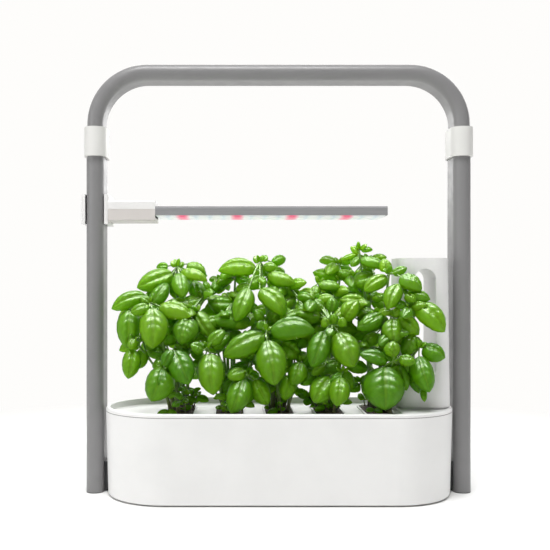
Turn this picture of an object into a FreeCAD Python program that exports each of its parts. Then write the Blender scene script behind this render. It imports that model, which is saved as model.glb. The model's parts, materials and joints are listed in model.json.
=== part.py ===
"""Countertop hydroponic garden: a tub with five basil pods, a tube frame, a lamp and a jug.

Millimetres. +X is to the viewer's right, +Y goes away from the viewer and +Z is up.
The origin is under the middle of the tub, on the surface that the garden stands on.
"""
import FreeCAD, Part
import math
import os

V = FreeCAD.Vector
X_AXIS = V(1, 0, 0)
Y_AXIS = V(0, 1, 0)
Z_AXIS = V(0, 0, 1)
ORIGIN = V(0, 0, 0)
OVERRUN = 2.0  # how far a cutting body runs past the faces that it cuts
RIGHT_ANGLE = 90
SEAT_GAP = 0.1  # between pieces that are fitted and do not move
SLIDE_GAP = 0.1  # between tubes that slide in each other, each side

# Tub: a long round-ended bowl that is a little wider at the rim than at the foot
TUB_HALF_LENGTH = 206.0
TUB_HALF_DEPTH = 75.5
TUB_DRAFT = 2.5  # how much narrower the foot is, each side
TUB_WALL = 2.4
TUB_FLOOR = 2.6
TUB_EDGE_ROUND = 1.6
WALL_TOP = 100.0
RIM_TOP = 104.0
RIM_WIDTH = 5.0
RIM_ROUND = 1.4
FOOT_HEIGHT = 1.6
FOOT_RADIUS = 7.0
FOOT_SPREAD_SHARES = ((-0.62, -0.62), (0.0, -0.7), (0.62, -0.62), (-0.62, 0.62), (0.0, 0.7), (0.62, 0.62))

# Deck: the lid with the pod openings, sunk below the rim, and the jug's platform
DECK_TOP = 97.0
DECK_THICK = 2.2
DECK_SKIRT = 8.0  # the lip that hangs inside the tub's wall
PLATFORM_SHARE = 0.6602  # where the platform starts, of the tub's half length
PLATFORM_TOP = 103.6

# Pods: five oblong cups in a row, each with a block of grow medium
POD_COUNT = 5
POD_PITCH_SHARE = 0.284  # of the tub's half length
CUP_WIDTH_SHARE = 0.598  # of the pods' pitch
CUP_CHANNEL_GAP = 3.0  # between a cup and the feed channel behind it
CUP_CORNER_SHARE = 0.4287  # of the cup's width
CUP_WALL = 1.2
CUP_FLANGE = 1.2  # how far the flange overhangs the opening
CUP_RIM = 1.6  # how far the flange stands above the deck
CUP_HEIGHT = 52.0
CUP_SLOT_WIDTH = 3.0
CUP_SLOTS = 3
PLUG_DROP = 1.0  # the medium's surface lies this far below the cup's rim
PLUG_HEIGHT = 40.0

# Frame: a flat-oval leg at each end, joined by an arch that telescopes into both
LEG_GAP = 3.5  # between the rim's end and a leg
FRAME_Y = 14.0
LEG_WIDTH = 21.0
LEG_DEPTH = 46.0
LEG_WALL = 0.8
LEG_CAP = 0.8  # the foot cap's sole, under the tube
LEG_CAP_PLUG = 12.0
LEG_CAP_WALL = 2.0
COLLAR_BOTTOM = 402.0
COLLAR_HEIGHT = 35.0
COLLAR_WALL = 2.8
COLLAR_LIP = 8.0  # the part of the collar above the leg's end
ARCH_TOP = 512.5
ARCH_WALL = 0.8
ARCH_BEND = 62.0  # to the tube's centre line
ARCH_INSERT = 150.0  # how much of the arch is hidden in each leg below the collar
GLIDE_PLUG = 14.0
GLIDE_SOLE = 2.0
COLLAR_SCREW_RADIUS = 2.0
COLLAR_SCREW_DROP = 14.0  # from the collar's top to the screw
COLLAR_SCREW_RECESS = 0.7
HEX_SHARE = 0.5  # of a screw's radius, across a socket
BRACKET_HEIGHT = 36.0
BRACKET_DEPTH = 22.0
BOLT_RADIUS = 2.0
BOLT_HEAD_RADIUS = 3.8
BOLT_HEAD_HEIGHT = 2.4
BOLT_BOSS_RADIUS = 6.0
BOLT_BOSS_REACH = 9.0  # inward from the tub's end, so that the bolt's seat is flat
BOLT_GRIP = 2.6  # the bolt's thread in the bracket
BOLT_HEIGHT_SHARES = (0.3, 0.72)

# Lamp: a clamp on the left leg, an arm in two shells and a light bar
CLAMP_BOTTOM = 321.0
CLAMP_HEIGHT = 35.5
CLAMP_PAD = 0.9
JAW_THICK = 5.2
JAW_DEPTH = 38.0
JAW_ROUND = 3.0
BRIDGE_THICK = 4.6
CLAMP_SCREW_RADIUS = 1.4
CLAMP_SCREW_HEAD = 2.6
CLAMP_SCREW_LENGTH = 12.0
CLAMP_SCREW_SHARES = (0.25, 0.75)  # of the clamp's height
ARM_LENGTH = 56.0
ARM_BOTTOM = 324.2
ARM_TOP = 348.6
ARM_SEAM = 338.6
ARM_DEPTH = 44.0
ARM_WALL = 2.2
ARM_ROUND = 2.0
ARM_SEAM_GAP = 0.3
BAR_LENGTH = 277.0
BAR_TENON = 14.0
BAR_BOTTOM = 331.3
BAR_TOP = 342.2
BAR_DEPTH = 44.0
BAR_WALL = 1.4
BAR_ROUND = 3.0
BOARD_THICK = 1.2
LED_ROWS = 2
LED_COUNT = 14
LED_SIZE = 3.5
LED_HEIGHT = 0.8
DIFFUSER_DROP = 2.5
DIFFUSER_INSET = 3.0
DIFFUSER_THICK = 1.0
END_CAP_THICK = 1.5
DRIVER_LENGTH = 34.0
DRIVER_DEPTH = 24.0
DRIVER_PARTS = 4
DRIVER_PART_HEIGHT = 3.5

# Jug: a hollow slab with rounded corners, an open top and a slot through it as the handle
JUG_PLACE_SHARE = 0.8194  # of the tub's half length, to the jug's middle
JUG_TOP = 279.5
JUG_WIDTH_SHARE = 0.1466  # half the jug's width, of the tub's half length
JUG_HALF_DEPTH = 33.0
JUG_DRAFT = 2.2
JUG_CORNER = 18.0
JUG_WALL = 2.0
JUG_FOOT_GAP = 1.2
JUG_FOOT_INSET = 3.0
SLOT_WIDTH = 25.0
SLOT_BOTTOM = 140.0
SLOT_TOP = 267.0

# Water works inside the tub: a small pump under the jug's platform and a feed channel
PUMP_INSET = 46.0  # from the tub's right end to the pump's middle
PUMP_WIDTH = 42.0
PUMP_DEPTH = 40.0
PUMP_HEIGHT = 34.0
PUMP_WALL = 2.4
PUMP_COVER = 3.0
IMPELLER_RADIUS = 12.0
IMPELLER_HEIGHT = 9.0
IMPELLER_BLADES = 6
IMPELLER_BLADE_THICK = 1.4
IMPELLER_HUB = 4.0
SHAFT_RADIUS = 1.2
SHAFT_GAP = 0.06
CHAMBER_GAP = 1.2
INLET_SLOTS = 5
INLET_SLOT_WIDTH = 1.6
RISER_RADIUS = 4.0
RISER_WALL = 1.0
CHANNEL_WIDTH = 12.0
CHANNEL_HEIGHT = 9.0
CHANNEL_WALL = 1.4
CHANNEL_INSET = 20.5  # from the rim's back to the channel's middle
OUTLET_RADIUS = 2.0

# Electrics inside the tub's left end
BOX_PLACE_SHARE = 0.8058  # of the tub's half length, to the box's middle
BOX_WIDTH_SHARE = 0.1942
BOX_DEPTH = 52.0
BOX_HEIGHT = 26.0
BOX_WALL = 1.8
BOX_LID = 2.0
BOX_DROP = 4.0  # below the deck's underside
CHIP_SIZE = 8.0
CHIP_HEIGHT = 2.0
CHIP_PLACES_SHARES = ((-0.45, -0.5), (0.4, -0.1), (-0.3, 0.5))  # of the board's half sizes
INLET_INSET = 96.0  # from the tub's left end
INLET_Z = 40.0
INLET_RADIUS = 6.0
INLET_FLANGE = 8.5
INLET_FLANGE_THICK = 1.2
INLET_LENGTH = 14.0
INLET_BORE = 3.2
INLET_PIN = 0.9

# Plants: stems, leaves and shoots; a leaf is a thin dome with a pointed tip
CANOPY_HEIGHT_SHARE = 0.971  # of the tub's half length, from the medium to the topmost leaf
LEAF_LENGTH_SHARE = 0.2136  # of the tub's half length, the longest leaf behind the front ones
LEAF_THICK = 1.0
LEAF_OUTLINE_SHARES = ((0.22, 0.84), (0.5, 1.0), (0.8, 0.62))
LEAF_ARCH_SHARE = 0.1  # of the length, how far the blade bows up
LEAF_CUP_SHARE = 0.3  # of the half width, how far the edges hang
LEAF_FACING = V(0, -0.78, 0.62)  # to the viewer and up to the lamp
STEM_RADIUS = 2.2
STEM_SIDES = 3
STEM_TAPER_SHARES = (1.0, 1.0, 0.8, 0.5)
STEM_KNEE_SHARE = 0.12
STEM_MIDDLE_SHARE = 0.6
PETIOLE_RADIUS = 1.1
PETIOLE_SHARE = 0.12
WHORL_SHRINK_SHARE = 0.24
WHORL_LOW = -18.0  # the lowest pair's rise in degrees
WHORL_STEP = 26.0
WHORL_WIDTH_SHARE = 0.6
WHORL_ROOT_SHARE = 0.6
SEAT_SHARE = 0.1
TUB_HALF_PIXELS = 171.67  # half the tub's length in the photograph
VIEW_DISTANCE = 1020.0  # from the camera to the tub's middle
VIEW_PIXELS = (235.9, 285.4)  # the column and row that the camera looks along
MEDIUM_PIXELS = (278.6, 410.367)  # the column of the tub's middle and the row of the medium's surface

# Each row of leaves is: column and row of the blade's base, of its tip, the blade's width,
# the depths of base and tip, and the roll about the leaf's own line. Columns, rows and widths
# are pixels of the photograph, depths are shares of the tub's half depth, rolls are degrees.
LEAVES_PIXELS_SHARES = {
    1: (
        (173, 273, 137, 287, 23, -0.15, -0.30, -25), (168, 266, 156, 267, 10, 0.02, 0.05, -20),
        (187, 264, 207, 273, 17, 0.00, 0.05, -25), (181, 271, 208, 279, 16, -0.20, -0.30, -20),
        (179, 273, 183, 296, 19, -0.25, -0.50, 0), (194, 281, 202, 304, 17, -0.05, -0.15, 10),
        (151, 304, 168, 282, 17, -0.50, -0.30, 10), (146, 295, 111, 308, 19, -0.42, -0.50, -20),
        (150, 306, 131, 312, 13, -0.62, -0.74, -10), (159, 306, 192, 315, 22, -0.52, -0.60, -10),
        (166, 303, 195, 308, 19, -0.35, -0.32, -15), (130, 309, 127, 348, 24, -0.50, -0.56, -10),
        (152, 308, 152, 348, 29, -0.66, -0.84, 0), (133, 349, 128, 379, 18, -0.60, -0.66, -10),
        (142, 349, 138, 369, 15, -0.50, -0.44, 15), (164, 366, 151, 401, 29, -0.76, -0.92, -8),
        (164, 366, 172, 350, 13, -0.84, -0.90, 25), (174, 351, 189, 384, 25, -0.78, -0.92, 8),
        (168, 372, 165, 397, 12, -0.50, -0.48, 30), (190, 317, 181, 344, 27, -0.56, -0.70, 0),
        (184, 318, 170, 326, 14, -0.34, -0.28, 0), (172, 330, 163, 345, 17, -0.36, -0.30, 10),
        (177, 266, 171, 261, 8, -0.10, -0.10, 0), (178, 266, 184, 262, 7, -0.06, -0.04, 0),
        (134, 338, 131, 349, 11, -0.62, -0.72, 0), (150, 303, 141, 297, 10, -0.52, -0.56, 0),
    ),
    2: (
        (195, 312, 215, 340, 18, -0.44, -0.46, 35), (210, 353, 213, 395, 27, -0.74, -0.86, 6),
        (208, 343, 224, 330, 14, -0.74, -0.76, 10), (212, 348, 230, 332, 16, -0.60, -0.50, 20),
        (204, 350, 191, 344, 13, -0.70, -0.80, 0), (206, 354, 200, 366, 10, -0.60, -0.62, 0),
        (233, 304, 208, 303, 19, -0.20, -0.14, -15), (250, 320, 211, 319, 21, -0.36, -0.46, -12),
        (209, 293, 204, 280, 8, 0.30, 0.34, 0), (212, 292, 216, 278, 8, 0.34, 0.38, 0),
        (216, 293, 230, 280, 9, 0.36, 0.40, 0), (214, 297, 201, 290, 11, 0.22, 0.20, 0),
        (245, 370, 228, 377, 15, -0.72, -0.84, -8), (244, 378, 231, 413, 24, -0.70, -0.86, -8),
        (248, 378, 242, 406, 19, -0.58, -0.62, 14), (255, 379, 268, 405, 20, -0.60, -0.66, 10),
        (231, 300, 222, 293, 12, -0.06, 0.02, 0), (238, 377, 222, 393, 14, -0.42, -0.34, 0),
    ),
    3: (
        (256, 267, 218, 269, 21, -0.20, -0.24, -8), (268, 273, 296, 282, 18, -0.20, -0.26, -10),
        (263, 266, 277, 266, 11, -0.20, -0.22, -5), (260, 277, 265, 284, 10, -0.30, -0.40, 0),
        (249, 288, 235, 321, 20, -0.44, -0.62, -6), (260, 289, 286, 315, 21, -0.42, -0.56, 10),
        (250, 286, 235, 289, 12, -0.20, -0.10, -20), (268, 289, 302, 294, 18, -0.02, 0.06, -15),
        (288, 285, 302, 286, 10, 0.16, 0.20, 0), (272, 262, 286, 257, 12, 0.06, 0.14, 0),
        (265, 334, 223, 355, 25, -0.64, -0.80, -8), (270, 330, 315, 328, 25, -0.62, -0.72, -10),
        (267, 340, 275, 385, 31, -0.70, -0.90, 4), (282, 342, 300, 357, 21, -0.48, -0.44, 10),
        (264, 320, 254, 309, 12, -0.44, -0.46, 0), (270, 322, 279, 306, 16, -0.36, -0.28, 0),
        (263, 328, 259, 321, 9, -0.68, -0.72, 0), (290, 375, 284, 401, 18, -0.50, -0.52, -10),
        (301, 362, 292, 385, 20, -0.58, -0.64, -6), (260, 262, 254, 256, 9, -0.18, -0.16, 0),
        (262, 261, 267, 255, 8, -0.16, -0.12, 0),
    ),
    4: (
        (325, 331, 312, 367, 23, -0.68, -0.82, -8), (338, 332, 354, 367, 29, -0.70, -0.88, 8),
        (321, 317, 292, 312, 19, -0.48, -0.48, -12), (326, 309, 314, 299, 14, -0.46, -0.44, 0),
        (331, 312, 332, 297, 14, -0.50, -0.52, 0), (343, 320, 358, 300, 18, -0.56, -0.60, 10),
        (318, 284, 342, 287, 15, 0.00, -0.06, -10), (316, 285, 314, 299, 10, -0.06, -0.14, 0),
        (338, 281, 313, 271, 16, 0.24, 0.30, -10), (342, 280, 354, 271, 13, 0.26, 0.32, 0),
        (366, 303, 340, 299, 20, -0.30, -0.30, -8), (343, 373, 331, 380, 9, -0.72, -0.80, 0),
        (330, 377, 314, 402, 24, -0.66, -0.80, -8), (341, 377, 337, 406, 21, -0.80, -0.92, 0),
        (325, 365, 311, 374, 11, -0.50, -0.56, 0), (345, 371, 352, 390, 13, -0.46, -0.44, 10),
        (328, 326, 324, 318, 10, -0.70, -0.78, 0), (333, 324, 334, 314, 9, -0.66, -0.74, 0),
        (339, 326, 343, 318, 10, -0.70, -0.80, 0), (332, 328, 328, 335, 9, -0.80, -0.88, 0),
    ),
    5: (
        (374, 275, 352, 284, 21, -0.06, -0.10, -12), (387, 276, 364, 290, 16, -0.42, -0.50, -8),
        (360, 259, 387, 267, 14, -0.14, -0.20, -14), (386, 272, 384, 258, 13, -0.40, -0.34, 0),
        (392, 273, 407, 267, 10, -0.54, -0.56, 0), (400, 276, 423, 288, 20, -0.62, -0.72, -8),
        (399, 284, 388, 308, 18, -0.66, -0.80, -4), (407, 292, 431, 298, 14, -0.62, -0.68, -6),
        (406, 293, 416, 301, 11, -0.68, -0.76, 0), (417, 303, 446, 331, 24, -0.64, -0.76, 10),
        (384, 314, 357, 328, 18, -0.54, -0.66, -8), (394, 318, 394, 343, 21, -0.66, -0.82, 0),
        (399, 315, 420, 334, 20, -0.58, -0.64, 6), (377, 333, 362, 345, 15, -0.44, -0.42, 0),
        (388, 361, 360, 353, 16, -0.76, -0.84, -10), (394, 357, 393, 341, 17, -0.86, -0.90, 0),
        (399, 358, 416, 361, 13, -0.84, -0.92, 0), (385, 366, 386, 410, 42, -0.80, -0.96, 0),
        (397, 365, 407, 391, 15, -0.66, -0.66, 20), (423, 346, 446, 357, 20, -0.66, -0.72, 6),
        (419, 356, 430, 392, 24, -0.70, -0.86, 8), (410, 364, 419, 394, 15, -0.56, -0.58, 25),
        (417, 345, 412, 337, 14, -0.62, -0.60, 0), (360, 254, 351, 246, 8, -0.12, -0.12, 0),
        (361, 250, 373, 249, 7, -0.10, -0.10, 0), (357, 254, 341, 259, 7, -0.12, -0.16, 0),
        (358, 257, 351, 266, 9, -0.16, -0.24, 0), (424, 388, 425, 402, 7, -0.72, -0.76, 0),
        (392, 316, 400, 308, 10, -0.62, -0.62, 0), (381, 338, 392, 346, 15, -0.50, -0.52, 0),
    ),
}

# Each stem is: the pod, the place of its root in the pod as shares of the cup's half width and
# half depth, the column and row of its top, the depth share there, and its thickness share.
STEMS_PIXELS_SHARES = (
    (1, -0.25, 0.20, 177, 267, -0.10, 1.0), (1, -0.55, -0.30, 149, 303, -0.50, 1.0),
    (1, -0.70, -0.55, 134, 341, -0.60, 0.8), (1, -0.10, -0.60, 164, 366, -0.78, 0.9),
    (1, 0.45, -0.05, 189, 317, -0.45, 0.9),
    (2, -0.45, -0.50, 208, 348, -0.68, 0.9), (2, 0.30, 0.10, 233, 302, -0.15, 1.0),
    (2, -0.20, 0.60, 213, 294, 0.30, 0.8), (2, 0.55, -0.60, 247, 374, -0.64, 0.8),
    (2, 0.00, -0.20, 196, 312, -0.40, 0.8),
    (3, -0.40, -0.05, 260, 262, -0.20, 1.1), (3, 0.00, -0.50, 266, 331, -0.62, 1.0),
    (3, 0.45, 0.30, 287, 286, 0.05, 0.8), (3, 0.60, -0.45, 302, 362, -0.50, 0.8),
    (4, -0.30, -0.40, 332, 325, -0.62, 1.0), (4, -0.45, 0.40, 320, 284, 0.10, 0.9),
    (4, 0.35, 0.55, 340, 280, 0.25, 0.8), (4, 0.30, -0.60, 343, 372, -0.70, 0.8),
    (5, -0.30, 0.05, 359, 250, -0.12, 0.9), (5, 0.10, -0.25, 389, 274, -0.46, 1.1),
    (5, 0.20, -0.45, 391, 316, -0.58, 0.9), (5, 0.50, -0.55, 408, 296, -0.64, 0.8),
    (5, 0.00, -0.65, 393, 361, -0.78, 1.0), (5, 0.65, -0.70, 419, 348, -0.66, 0.9),
)

# Each whorl behind the front ones is: the pod, its place across as a share of the pods' pitch
# from the pod's middle, its depth share, its height as a share of the canopy's, its turn in
# degrees, its leaf length as a share of the longest leaf's and its count of leaf pairs.
WHORLS_SHARES = (
    (1, -0.75, 0.28, 0.62, 20, 0.75, 2), (1, 0.05, 0.50, 0.78, 65, 0.80, 3),
    (1, -0.40, 0.54, 0.42, 35, 0.72, 2),
    (2, -0.10, 0.52, 0.60, 10, 0.80, 3), (2, 0.12, 0.26, 0.84, 50, 0.58, 2),
    (3, -0.20, 0.50, 0.80, 40, 0.80, 3), (3, 0.30, 0.54, 0.48, 80, 0.72, 2),
    (4, -0.25, 0.55, 0.64, 15, 0.80, 3), (4, 0.30, 0.48, 0.88, 60, 0.72, 2),
    (4, 0.15, 0.32, 0.34, 30, 0.65, 2),
    (5, -0.20, 0.50, 0.70, 30, 0.78, 3), (5, -0.10, 0.28, 0.90, 75, 0.60, 2),
    (5, -0.05, 0.56, 0.40, 55, 0.70, 2),
)

# Places that follow from the sizes above
PIXEL_WIDTH = TUB_HALF_LENGTH / TUB_HALF_PIXELS  # at the tub's middle
CANOPY_HEIGHT = TUB_HALF_LENGTH * CANOPY_HEIGHT_SHARE
LEAF_LENGTH = TUB_HALF_LENGTH * LEAF_LENGTH_SHARE
PLATFORM_START = TUB_HALF_LENGTH * PLATFORM_SHARE
POD_PITCH = TUB_HALF_LENGTH * POD_PITCH_SHARE
JUG_X = TUB_HALF_LENGTH * JUG_PLACE_SHARE
JUG_HALF_WIDTH = TUB_HALF_LENGTH * JUG_WIDTH_SHARE
PUMP_X = TUB_HALF_LENGTH - PUMP_INSET
CHANNEL_Y = TUB_HALF_DEPTH - CHANNEL_INSET
CUP_WIDTH = POD_PITCH * CUP_WIDTH_SHARE
CUP_CORNER = CUP_WIDTH * CUP_CORNER_SHARE
CUP_DEPTH = 2 * (CHANNEL_Y - CHANNEL_WIDTH / 2 - CUP_CHANNEL_GAP)
BOX_X = -TUB_HALF_LENGTH * BOX_PLACE_SHARE
BOX_WIDTH = TUB_HALF_LENGTH * BOX_WIDTH_SHARE
INLET_X = INLET_INSET - TUB_HALF_LENGTH
LEG_X = TUB_HALF_LENGTH + LEG_GAP + LEG_WIDTH / 2
LEG_TOP = COLLAR_BOTTOM + COLLAR_HEIGHT - COLLAR_LIP
COLLAR_TOP = COLLAR_BOTTOM + COLLAR_HEIGHT
TUBE_WIDTH = LEG_WIDTH - 2 * LEG_WALL - 2 * SLIDE_GAP
TUBE_DEPTH = LEG_DEPTH - 2 * LEG_WALL - 2 * SLIDE_GAP
ARCH_CENTRE_Z = ARCH_TOP - TUBE_WIDTH / 2
BEND_Z = ARCH_CENTRE_Z - ARCH_BEND
BEND_X = LEG_X - ARCH_BEND
ARCH_BOTTOM = COLLAR_BOTTOM - ARCH_INSERT
TUB_BOTTOM = FOOT_HEIGHT
RIM_TO_FOOT = WALL_TOP - TUB_BOTTOM
CUP_BOTTOM = DECK_TOP - CUP_HEIGHT
CUP_TOP = DECK_TOP + CUP_RIM
PLUG_TOP = CUP_TOP - PLUG_DROP
POD_XS = [POD_PITCH * (i - (POD_COUNT - 1) / 2) for i in range(POD_COUNT)]
JUG_BASE = PLATFORM_TOP + JUG_FOOT_GAP
CLAMP_TOP = CLAMP_BOTTOM + CLAMP_HEIGHT
JAW_FACE = LEG_WIDTH / 2 + CLAMP_PAD  # from the leg's centre to a jaw's face
ARM_START = -LEG_X + JAW_FACE + JAW_THICK
ARM_END = ARM_START + ARM_LENGTH
BAR_END = ARM_END + BAR_LENGTH
BAR_START = ARM_END - BAR_TENON
RISER_X = PUMP_X - IMPELLER_RADIUS + RISER_RADIUS  # the outlet leaves the chamber at its side


def box(x0, x1, y0, y1, z0, z1):
    """A box between two corners."""
    return Part.makeBox(x1 - x0, y1 - y0, z1 - z0, V(x0, y0, z0))


def cylinder(radius, length, start, axis):
    """A cylinder from a point along an axis."""
    return Part.makeCylinder(radius, length, start, axis)


def rounded_wire(half_x, half_y, corner, z, x=0.0, y=0.0):
    """A closed outline with four round corners, level at z."""
    ends = []
    arcs = []
    for k, (side_x, side_y) in enumerate(((1, 1), (-1, 1), (-1, -1), (1, -1))):
        centre = V(x + side_x * (half_x - corner), y + side_y * (half_y - corner), z)
        points = []
        for share in (0, 1 / 2, 1):
            angle = math.radians(RIGHT_ANGLE * (k + share))
            points.append(centre + V(math.cos(angle), math.sin(angle), 0) * corner)
        ends.append((points[0], points[2]))
        arcs.append(Part.Arc(*points).toShape())
    edges = []
    for i, arc in enumerate(arcs):
        edges.append(arc)
        here = ends[i][1]
        there = ends[(i + 1) % len(arcs)][0]
        if here.distanceToPoint(there) > SEAT_GAP / 100:
            edges.append(Part.makeLine(here, there))
    return Part.Wire(edges)


def slab(wire, height):
    """The prism over a flat outline."""
    return Part.Face(wire).extrude(V(0, 0, height))


def tapered(low, high):
    """The solid between two level outlines."""
    return Part.makeLoft([low, high], True, True)


def corner_post(low_radius, high_radius, height, place):
    """The round corner of a drafted block."""
    if abs(low_radius - high_radius) < SEAT_GAP / 100:
        return cylinder(low_radius, height, place, Z_AXIS)
    return Part.makeCone(low_radius, high_radius, height, place, Z_AXIS)


def drafted(sizes, grows, heights, x=0.0, y=0.0):
    """A block with four round corners that may be wider at its top than at its foot.

    The sizes are the half length, half depth and corner radius, and the grows move
    the outline outward at the two heights.
    """
    half_x, half_y, corner = sizes
    inner_x = half_x - corner
    inner_y = half_y - corner
    low, high = [corner + grow for grow in grows]
    bottom, top = heights
    solids = []
    sides_y = (-1, 1) if inner_y > SEAT_GAP else (0,)
    for side_x in (-1, 1):
        for side_y in sides_y:
            place = V(x + side_x * inner_x, y + side_y * inner_y, bottom)
            solids.append(corner_post(low, high, top - bottom, place))
    reach = ((-inner_y - low, bottom), (inner_y + low, bottom), (inner_y + high, top), (-inner_y - high, top))
    points = [V(x - inner_x, y + across, z) for across, z in reach]
    solids.append(Part.Face(Part.makePolygon(points + [points[0]])).extrude(V(2 * inner_x, 0, 0)))
    if len(sides_y) > 1:
        reach = ((-inner_x - low, bottom), (inner_x + low, bottom),
                 (inner_x + high, top), (-inner_x - high, top))
        points = [V(x + along, y - inner_y, z) for along, z in reach]
        solids.append(Part.Face(Part.makePolygon(points + [points[0]])).extrude(V(0, 2 * inner_y, 0)))
    return solids[0].fuse(solids[1:]).removeSplitter()


def round_edges(shape, radius, wanted):
    """Round the edges that a test picks out."""
    edges = [edge for edge in shape.Edges if wanted(edge)]
    return shape.makeFillet(radius, edges)


def break_edges(shape, size, wanted):
    """Break the edges that a test picks out with a small flat."""
    edges = [edge for edge in shape.Edges if wanted(edge)]
    return shape.makeChamfer(size, edges)


def level_at(z):
    """A test for edges that lie level at a height."""
    def test(edge):
        box_of = edge.BoundBox
        return abs(box_of.ZMin - z) < SEAT_GAP and abs(box_of.ZMax - z) < SEAT_GAP
    return test


def at_x(x):
    """A test for edges that lie in one plane across X."""
    def test(edge):
        box_of = edge.BoundBox
        return abs(box_of.XMin - x) < SEAT_GAP and abs(box_of.XMax - x) < SEAT_GAP
    return test


def long_and_above(length, z):
    """A test for edges that are long in X and lie above a height."""
    return lambda edge: edge.BoundBox.XLength > length and edge.BoundBox.ZMin > z


def group(solids):
    """Several separate solids kept as one piece."""
    return Part.makeCompound(solids)


def save(name, shape):
    """Write one node."""
    shape.exportStep("parts/" + name + ".step")


def mirrored(shape):
    """The same piece on the other side of the tub."""
    return shape.mirror(ORIGIN, X_AXIS)


# Tub


def tub_narrowing(z):
    """How much narrower than at its top the tub is at a height, each side."""
    return TUB_DRAFT * (WALL_TOP - z) / RIM_TO_FOOT


def tub_form(bottom, top, grow):
    """The solid inside the tub's outline between two heights, moved outward by grow."""
    sizes = (TUB_HALF_LENGTH, TUB_HALF_DEPTH, TUB_HALF_DEPTH)
    return drafted(sizes, (grow - tub_narrowing(bottom), grow - tub_narrowing(top)), (bottom, top))


def tub_end_x(z):
    """How far the tub's side reaches at the frame's depth and a height."""
    radius = TUB_HALF_DEPTH - tub_narrowing(z)
    centre = TUB_HALF_LENGTH - TUB_HALF_DEPTH
    return centre + math.sqrt(radius ** 2 - FRAME_Y ** 2)


def bolt_heights():
    """The heights of the bolts that tie the frame to the tub."""
    return [BRACKET_HEIGHT * share for share in BOLT_HEIGHT_SHARES]


def tub_shell():
    """The tub: one wall, a floor, bosses for the frame's bolts and the inlet's hole."""
    outer = tub_form(TUB_BOTTOM, WALL_TOP, 0.0)
    outer = break_edges(outer, TUB_EDGE_ROUND, level_at(TUB_BOTTOM))
    shell = outer.cut(tub_form(TUB_BOTTOM + TUB_FLOOR, WALL_TOP + OVERRUN, -TUB_WALL))
    for side in (-1, 1):
        for z in bolt_heights():
            end = side * tub_end_x(z)
            inward = V(-side, 0, 0)
            boss = cylinder(BOLT_BOSS_RADIUS, BOLT_BOSS_REACH, V(end, FRAME_Y, z), inward)
            shell = shell.fuse(boss.common(tub_form(TUB_BOTTOM + SEAT_GAP, WALL_TOP, -TUB_WALL / 2)))
            start = V(end + side * OVERRUN, FRAME_Y, z)
            shell = shell.cut(cylinder(BOLT_RADIUS + SEAT_GAP, BOLT_BOSS_REACH + 2 * OVERRUN, start, inward))
    start = V(INLET_X, TUB_HALF_DEPTH + OVERRUN, INLET_Z)
    shell = shell.cut(cylinder(INLET_RADIUS + SEAT_GAP, TUB_WALL + 4 * OVERRUN, start, V(0, -1, 0)))
    return shell.removeSplitter()


def rubber_feet():
    """Six round pads under the tub's floor."""
    pads = []
    for share_x, share_y in FOOT_SPREAD_SHARES:
        place = V(share_x * TUB_HALF_LENGTH, share_y * TUB_HALF_DEPTH, 0)
        pads.append(cylinder(FOOT_RADIUS, FOOT_HEIGHT, place, Z_AXIS))
    return group(pads)


def pod_form(x, bottom, top, grow):
    """A solid of one pod's outline between two heights, moved outward by grow."""
    wire = rounded_wire(CUP_WIDTH / 2 + grow, CUP_DEPTH / 2 + grow, CUP_CORNER + grow, bottom, x)
    return slab(wire, top - bottom)


def deck():
    """The lid: a rim that caps the tub's wall, a sunk floor with openings and a platform."""
    rim = tub_form(WALL_TOP, RIM_TOP, 0.0)
    rim = break_edges(rim, RIM_ROUND, level_at(RIM_TOP))
    skirt = tub_form(WALL_TOP - DECK_SKIRT, WALL_TOP, -TUB_WALL - SEAT_GAP)
    body = rim.fuse(skirt)
    sunk = tub_form(DECK_TOP, RIM_TOP + OVERRUN, -RIM_WIDTH)
    depth = TUB_HALF_DEPTH
    platform_side = box(PLATFORM_START, TUB_HALF_LENGTH, -depth, depth, 0, RIM_TOP + OVERRUN)
    platform_rim = tub_form(PLATFORM_TOP, RIM_TOP + OVERRUN, -RIM_WIDTH).common(platform_side)
    body = body.cut(sunk.cut(platform_side)).cut(platform_rim)
    hollow = tub_form(0, DECK_TOP - DECK_THICK, -RIM_WIDTH)
    right = box(PLATFORM_START + DECK_THICK, TUB_HALF_LENGTH, -depth, depth, 0, RIM_TOP)
    under_platform = tub_form(0, PLATFORM_TOP - DECK_THICK, -RIM_WIDTH).common(right)
    body = body.cut(hollow).cut(under_platform)
    for x in POD_XS:
        body = body.cut(pod_form(x, DECK_TOP - 2 * DECK_THICK, RIM_TOP, SEAT_GAP))
    return body.removeSplitter()


# Pods


def pod_cup(x):
    """One cup: a flange on the deck, upright walls and root slots in its floor."""
    cup = pod_form(x, CUP_BOTTOM, DECK_TOP, 0).fuse(pod_form(x, DECK_TOP, CUP_TOP, CUP_FLANGE))
    cup = cup.cut(pod_form(x, CUP_BOTTOM + CUP_WALL, CUP_TOP + OVERRUN, -CUP_WALL))
    slot_pitch = CUP_WIDTH / (CUP_SLOTS + 1)
    half = CUP_SLOT_WIDTH / 2
    reach = CUP_DEPTH / 2 - CUP_CORNER
    low = CUP_BOTTOM - OVERRUN
    for i in range(CUP_SLOTS):
        slot_x = x + slot_pitch * (i - (CUP_SLOTS - 1) / 2)
        cup = cup.cut(box(slot_x - half, slot_x + half, -reach, reach, low, low + 2 * OVERRUN))
    return cup.removeSplitter()


def grow_plug(x):
    """The block of grow medium that fills the upper part of a cup."""
    return pod_form(x, PLUG_TOP - PLUG_HEIGHT, PLUG_TOP, -CUP_WALL - SEAT_GAP)


# Frame


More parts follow.
